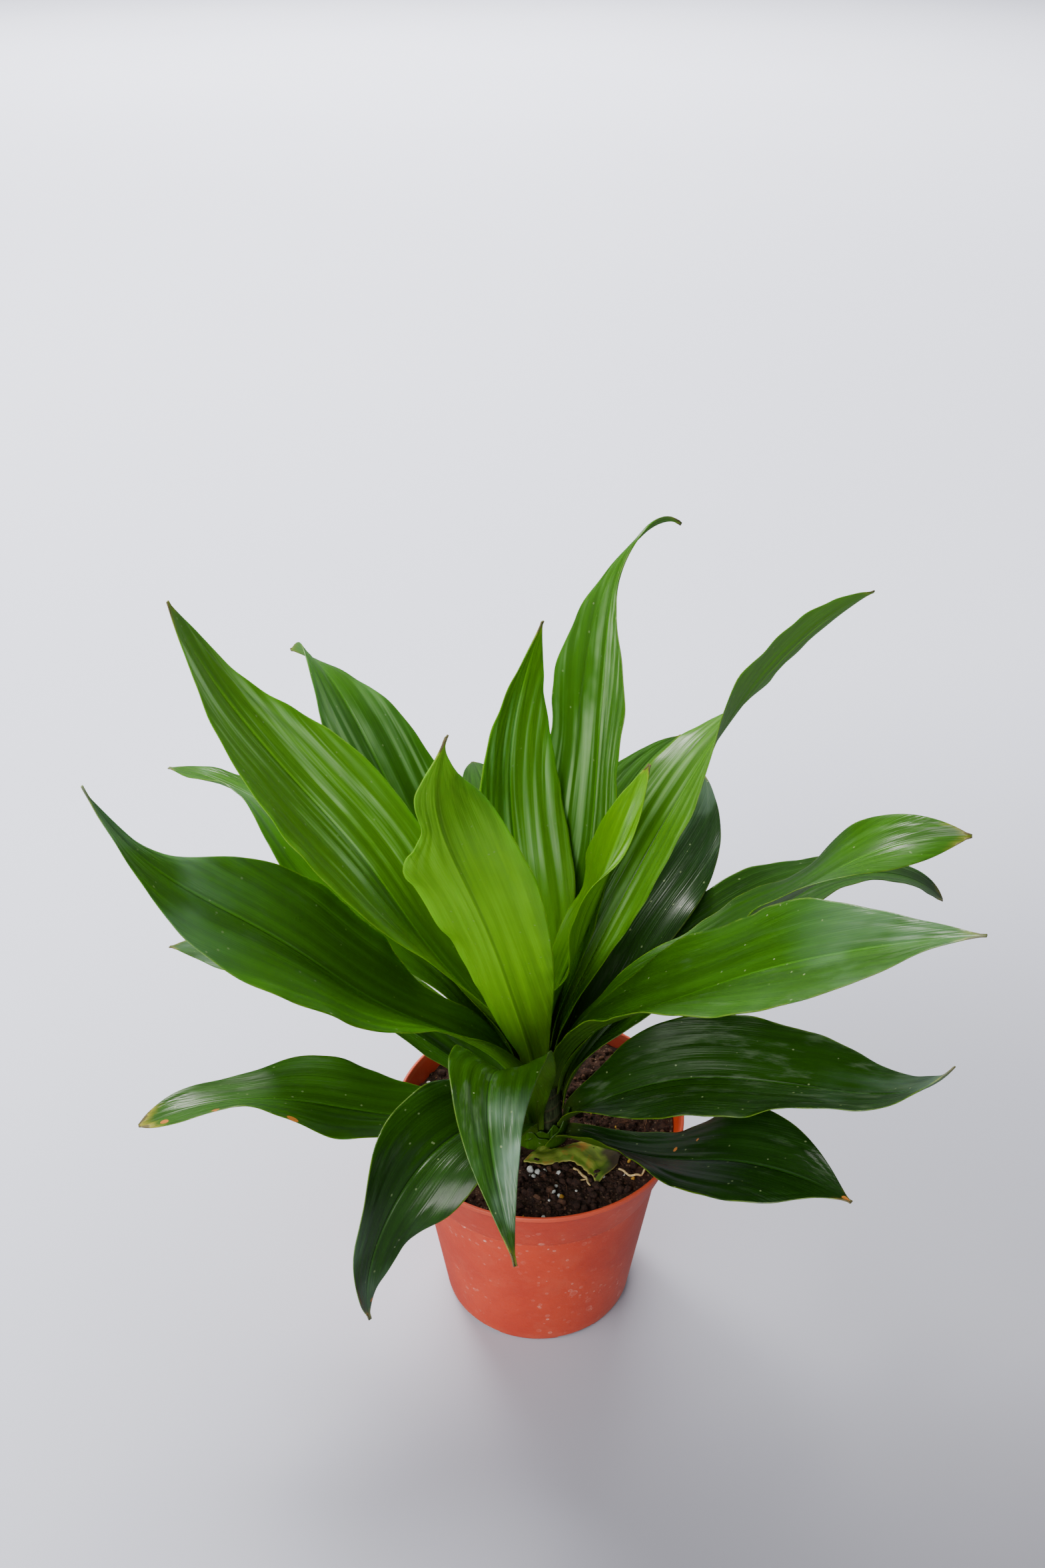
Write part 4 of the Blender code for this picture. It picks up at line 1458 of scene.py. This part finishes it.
def stage_piece(form):
    """A pale floor that reaches past the camera's view, with a soft shadow painted on it in front of
    the plant, and soft light from a window behind.
    """
    reach = form.floor_reach
    mesh = bpy.data.meshes.new("floor")
    shape = bmesh.new()
    bmesh.ops.create_grid(shape, x_segments=12, y_segments=12, size=reach)
    shape.to_mesh(mesh)
    shape.free()
    floor = bpy.data.objects.new("floor", mesh)
    floor.location.z = -0.0002
    look = Look("floor")
    cloud = look.noise(look.place, 1.3, 2.0)
    # Painted shadow: the floor turns to the darker colour within about a metre of SHADE_PLACE.
    side = look.part(look.place, 0) - SHADE_PLACE[0]
    depth = look.part(look.place, 1) - SHADE_PLACE[1]
    back = ((side**2.0 + depth**2.0) ** 0.5).above(0.20, 1.10)
    look.set(Base_Color=look.tinted(look.blend(back, form.floor_painted_shadow, form.floor), 0.98 + cloud * 0.04))
    look.set(Roughness=0.75 + cloud * 0.1, Specular_IOR_Level=0.2)
    floor.data.materials.append(look.material)
    bpy.context.scene.collection.objects.link(floor)
    floor.visible_glossy = False
    lights = [
        ("window_light", WINDOW_PLACE, (0, 0, 0.15), 0.7, form.window_power),
        ("side_light", SIDE_PLACE, (0, 0, 0.10), 1.6, form.side_power),
        ("front_light", FRONT_PLACE, (0, 0, 0.20), 0.8, form.front_power),
        ("far_light", FAR_PLACE, FAR_AIM, 5.0, form.far_power),
    ]
    for name, place, aim, size, power in lights:
        lamp = bpy.data.lights.new(name, "AREA")
        lamp.shape = "DISK"
        lamp.size = size
        lamp.energy = power
        lamp.color = form.window_tint
        obj = bpy.data.objects.new(name, lamp)
        obj.location = place
        obj.visible_glossy = name != "far_light"
        facing = Vector(aim) - Vector(place)
        obj.rotation_euler = facing.to_track_quat("-Z", "Y").to_euler()
        bpy.context.scene.collection.objects.link(obj)
    world = bpy.data.worlds.new("room")
    world.use_nodes = True
    background = world.node_tree.nodes["Background"]
    background.inputs["Color"].default_value = (*form.room_tint, 1)
    background.inputs["Strength"].default_value = form.room_light
    bpy.context.scene.world = world


def camera_piece():
    """The camera at the photo's angle."""
    data = bpy.data.cameras.new("camera")
    data.sensor_fit = "AUTO"
    data.sensor_width = 36
    data.lens = LENS * 1000
    obj = bpy.data.objects.new("camera", data)
    obj.location = CAMERA_PLACE
    obj.rotation_euler = [math.radians(a) for a in CAMERA_TILT]
    bpy.context.scene.collection.objects.link(obj)
    bpy.context.scene.camera = obj


def length(name, description, metres):
    return bpy.props.FloatProperty(
        name=name, description=description, default=metres, min=0, precision=5, unit="LENGTH"
    )


def factor(name, description, value, most=1.0):
    return bpy.props.FloatProperty(
        name=name, description=description, default=value, min=0, max=most, subtype="FACTOR"
    )


def amount(name, description, value):
    return bpy.props.FloatProperty(name=name, description=description, default=value, min=0)


def number(name, description, value):
    return bpy.props.IntProperty(name=name, description=description, default=value, min=1)


def colour(name, description, red, green, blue):
    """A colour given as it looks on a screen, 0 to 255."""
    return bpy.props.FloatVectorProperty(
        name=name,
        description=description,
        default=linear(red, green, blue),
        size=3,
        min=0,
        max=1,
        subtype="COLOR",
    )


class LeafForm(bpy.types.PropertyGroup):
    """The common form and finish of the leaves."""

    pleats: amount("Pleats", "Lengthwise folds across each half of a blade", 3.2)
    pleat_depth: length("Pleat depth", "Height of the lengthwise folds", 0.0005)
    frill_depth: length("Frill depth", "Height of the uneven waves along the edges", 0.0045)
    keel: length("Keel", "How far the midrib stands out under the blade", 0.0005)
    vein_depth: length("Vein depth", "Height of the fine veins in the skin", 0.00022)
    roughness: factor("Roughness", "How dull the waxy skin is", 0.28)
    glow: factor("Glow", "How much light passes through the youngest blades", 0.45)
    streak: factor("Streak", "Contrast between the dark and the light streaks", 0.16)
    young_colour: colour("Young leaf", "The newest leaves", 108, 168, 2)
    middle_colour: colour("Grown leaf", "Leaves at half age", 54, 106, 2)
    old_colour: colour("Old leaf", "The lowest leaves", 14, 42, 4)
    rib_dark: colour("Dark midrib", "The midrib of a leaf against the light", 40, 76, 4)
    # The colour of the highlight painted along the folds (painted sheen).
    painted_sheen_colour: colour("Wax", "The pale waxy film along the folds", 170, 206, 150)
    # A paler underside, brightened as painted light shining through the blade.
    underside_and_glow_colour: colour("Underside", "The paler face below", 94, 146, 28)
    base_colour: colour("Leaf base", "Where a leaf clasps the cane", 92, 116, 52)
    margin_colour: colour("Margin", "The thin edge of a blade", 104, 132, 36)
    yellow: colour("Yellowed", "Tissue that is losing its green", 176, 160, 52)
    dry_colour: colour("Dried", "Dead tissue at a tip", 92, 84, 50)
    # A bluish sheen painted on hanging tips, mixed with a dusty film.
    tip_sheen_and_film_colour: colour("Bloom", "A bluish film on hanging tips", 120, 150, 130)
    fleck_colour: colour("Fleck", "Rusty marks", 170, 104, 40)
    speck_colour: colour("Speck", "Dried spray spots", 150, 168, 120)
    dust_colour: colour("Dust", "Dust and scuffs", 120, 138, 112)


class TornForm(bpy.types.PropertyGroup):
    """The finish of the torn leaf."""

    torn_dark: colour("Dark streak", "The darker streaks", 84, 116, 34)
    torn_light: colour("Light streak", "The lighter streaks", 134, 154, 60)
    torn_dead: colour("Dead end", "The dried ragged end", 62, 44, 42)
    yellow: colour("Rim", "The dried rim", 190, 172, 96)
    fleck_colour: colour("Scorch", "Rusty patches", 176, 106, 44)
    glow: factor("Glow", "How much light passes through it", 0.2)


class SoilForm(bpy.types.PropertyGroup):
    """The potting mix and what lies in it."""

    crumbs: number("Crumbs", "Loose dark crumbs on the soil", 900)
    perlite: number("Perlite", "Loose white grains besides those that the photo shows", 16)
    fibres: number("Fibres", "Fine brown fibres", 70)
    dark: colour("Peat", "Damp peat", 40, 28, 25)
    brown: colour("Humus", "Drier humus", 68, 46, 37)
    dry: colour("Bark", "Bark and dry crumbs", 98, 68, 50)
    pale: colour("Grit", "Pale grit", 124, 100, 82)
    perlite_pale: colour("Perlite", "The white grains", 222, 224, 220)
    perlite_shade: colour("Perlite pits", "Pits in the white grains", 178, 182, 182)
    grain_pale: colour("Fertiliser", "The yellow grains", 206, 164, 62)
    grain_shade: colour("Fertiliser shade", "The darker part of the yellow grains", 156, 108, 34)
    root_pale: colour("Root", "Pale roots", 226, 204, 150)
    root_dark: colour("Root shade", "Darker stretches of the roots", 184, 146, 92)
    fibre_pale: colour("Fibre", "Fine fibres", 132, 92, 66)
    fibre_dark: colour("Fibre shade", "Darker fibres", 82, 54, 42)


class PotForm(bpy.types.PropertyGroup):
    """The finish of the pot."""

    body: colour("Plastic", "The moulded plastic", 203, 66, 34)
    shade: colour("Deeper plastic", "Its deeper patches", 190, 56, 30)
    # A darker colour for the inner wall.
    inside: colour("Inside", "The stained inner wall", 132, 54, 44)
    bloom: colour("Dust", "Pinkish dust and rubbed edges", 206, 98, 70)
    water: colour("Water marks", "Dried rings of hard water", 226, 152, 136)
    roughness: factor("Roughness", "How dull the plastic is", 0.42)
    dust: factor("Dust share", "How much of the pot is dusty", 0.35)
    spotted: factor("Water marks share", "How many drops left a ring", 0.45)


class CaneForm(bpy.types.PropertyGroup):
    """The finish of the cane."""

    cane_dark: colour("Cracks", "Cracks in the skin", 40, 50, 24)
    cane_pale: colour("Skin", "The grey-green skin", 80, 94, 56)
    scar: colour("Scars", "Where old leaves fell", 92, 84, 56)


class StageForm(bpy.types.PropertyGroup):
    """The floor, the light and the room."""

    floor_reach: length("Floor reach", "Half the width of the floor", 16.0)
    floor: colour("Floor", "The pale floor behind", 224, 228, 246)
    # The colour of the shadow painted on the floor in front of the plant.
    floor_painted_shadow: colour("Near floor", "The floor in front", 104, 102, 106)
    window_power: amount("Window power", "Watts of the light behind at the left", 46)
    side_power: amount("Side power", "Watts of the light in front at the left", 36)
    front_power: amount("Front power", "Watts of the low light in front", 13)
    far_power: amount("Far power", "Watts of the light over the far floor", 760)
    window_tint: colour("Window tint", "Colour of the three lights", 255, 252, 247)
    room_light: amount("Room light", "Strength of the light from all round", 0.30)
    room_tint: colour("Room tint", "Colour of the light from all round", 236, 240, 250)


class DRACAENA_OT_stage(bpy.types.Operator):
    """Sets the floor, the lights, the room and the camera"""

    bl_idname = "dracaena.stage"
    bl_label = "Stage"

    def execute(self, context):
        camera_piece()
        stage_piece(settings("dracaena_stage"))
        return {"FINISHED"}


class DRACAENA_OT_pot(bpy.types.Operator):
    """Turns the pot and cuts its drainage holes and foot notches"""

    bl_idname = "dracaena.pot"
    bl_label = "Pot"

    def execute(self, context):
        pot_piece(settings("dracaena_pot"))
        return {"FINISHED"}


class DRACAENA_OT_soil(bpy.types.Operator):
    """Fills the pot with crumbly soil and lays grains, roots and fibres on it"""

    bl_idname = "dracaena.soil"
    bl_label = "Soil"

    def execute(self, context):
        form = settings("dracaena_soil")
        soil_piece(form)
        grain_pieces(form)
        root_pieces(form)
        return {"FINISHED"}


class DRACAENA_OT_cane(bpy.types.Operator):
    """Gives the cane its skin and scars, and wraps it in the sheaths of lost leaves"""

    bl_idname = "dracaena.cane"
    bl_label = "Cane"

    def execute(self, context):
        look = cane_look(settings("dracaena_cane"))
        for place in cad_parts["cane"].material_slots:
            place.material = look.material
        sheath_pieces(settings("dracaena_leaves"))
        return {"FINISHED"}


class DRACAENA_OT_leaves(bpy.types.Operator):
    """Builds every whole leaf with its pleats, keel, veins and wear"""

    bl_idname = "dracaena.leaves"
    bl_label = "Leaves"

    def execute(self, context):
        form = settings("dracaena_leaves")
        for leaf in LEAVES:
            leaf_piece(leaf, SKINS[leaf.name], form)
        return {"FINISHED"}


class DRACAENA_OT_torn_leaf(bpy.types.Operator):
    """Lays the torn leaf on the soil"""

    bl_idname = "dracaena.torn_leaf"
    bl_label = "Torn leaf"

    def execute(self, context):
        torn_leaf_piece(settings("dracaena_torn"))
        return {"FINISHED"}


FORMS = {
    "dracaena_stage": StageForm,
    "dracaena_pot": PotForm,
    "dracaena_soil": SoilForm,
    "dracaena_cane": CaneForm,
    "dracaena_leaves": LeafForm,
    "dracaena_torn": TornForm,
}

OPERATORS = (
    DRACAENA_OT_stage,
    DRACAENA_OT_pot,
    DRACAENA_OT_soil,
    DRACAENA_OT_cane,
    DRACAENA_OT_leaves,
    DRACAENA_OT_torn_leaf,
)


class DRACAENA_PT_panel(bpy.types.Panel):
    """The plant's pieces, in the order that they are made."""

    bl_idname = "DRACAENA_PT_panel"
    bl_label = "Potted dracaena"
    bl_space_type = "VIEW_3D"
    bl_region_type = "UI"
    bl_category = "Dracaena"

    def draw(self, context):
        for operator in OPERATORS:
            self.layout.operator(operator.bl_idname)
        for name, form in FORMS.items():
            column = self.layout.column(align=True)
            column.label(text=form.__doc__)
            for field in form.__annotations__:
                column.prop(getattr(context.scene, name), field)


def register():
    for name, form in FORMS.items():
        bpy.utils.register_class(form)
        setattr(bpy.types.Scene, name, bpy.props.PointerProperty(type=form))
    for kind in (*OPERATORS, DRACAENA_PT_panel):
        bpy.utils.register_class(kind)


def unregister():
    for kind in (DRACAENA_PT_panel, *reversed(OPERATORS)):
        bpy.utils.unregister_class(kind)
    for name, form in FORMS.items():
        delattr(bpy.types.Scene, name)
        bpy.utils.unregister_class(form)


def main():
    register()
    bpy.ops.dracaena.stage()
    bpy.ops.dracaena.pot()
    bpy.ops.dracaena.soil()
    bpy.ops.dracaena.cane()
    bpy.ops.dracaena.leaves()
    bpy.ops.dracaena.torn_leaf()


if __name__ == "__main__":
    main()
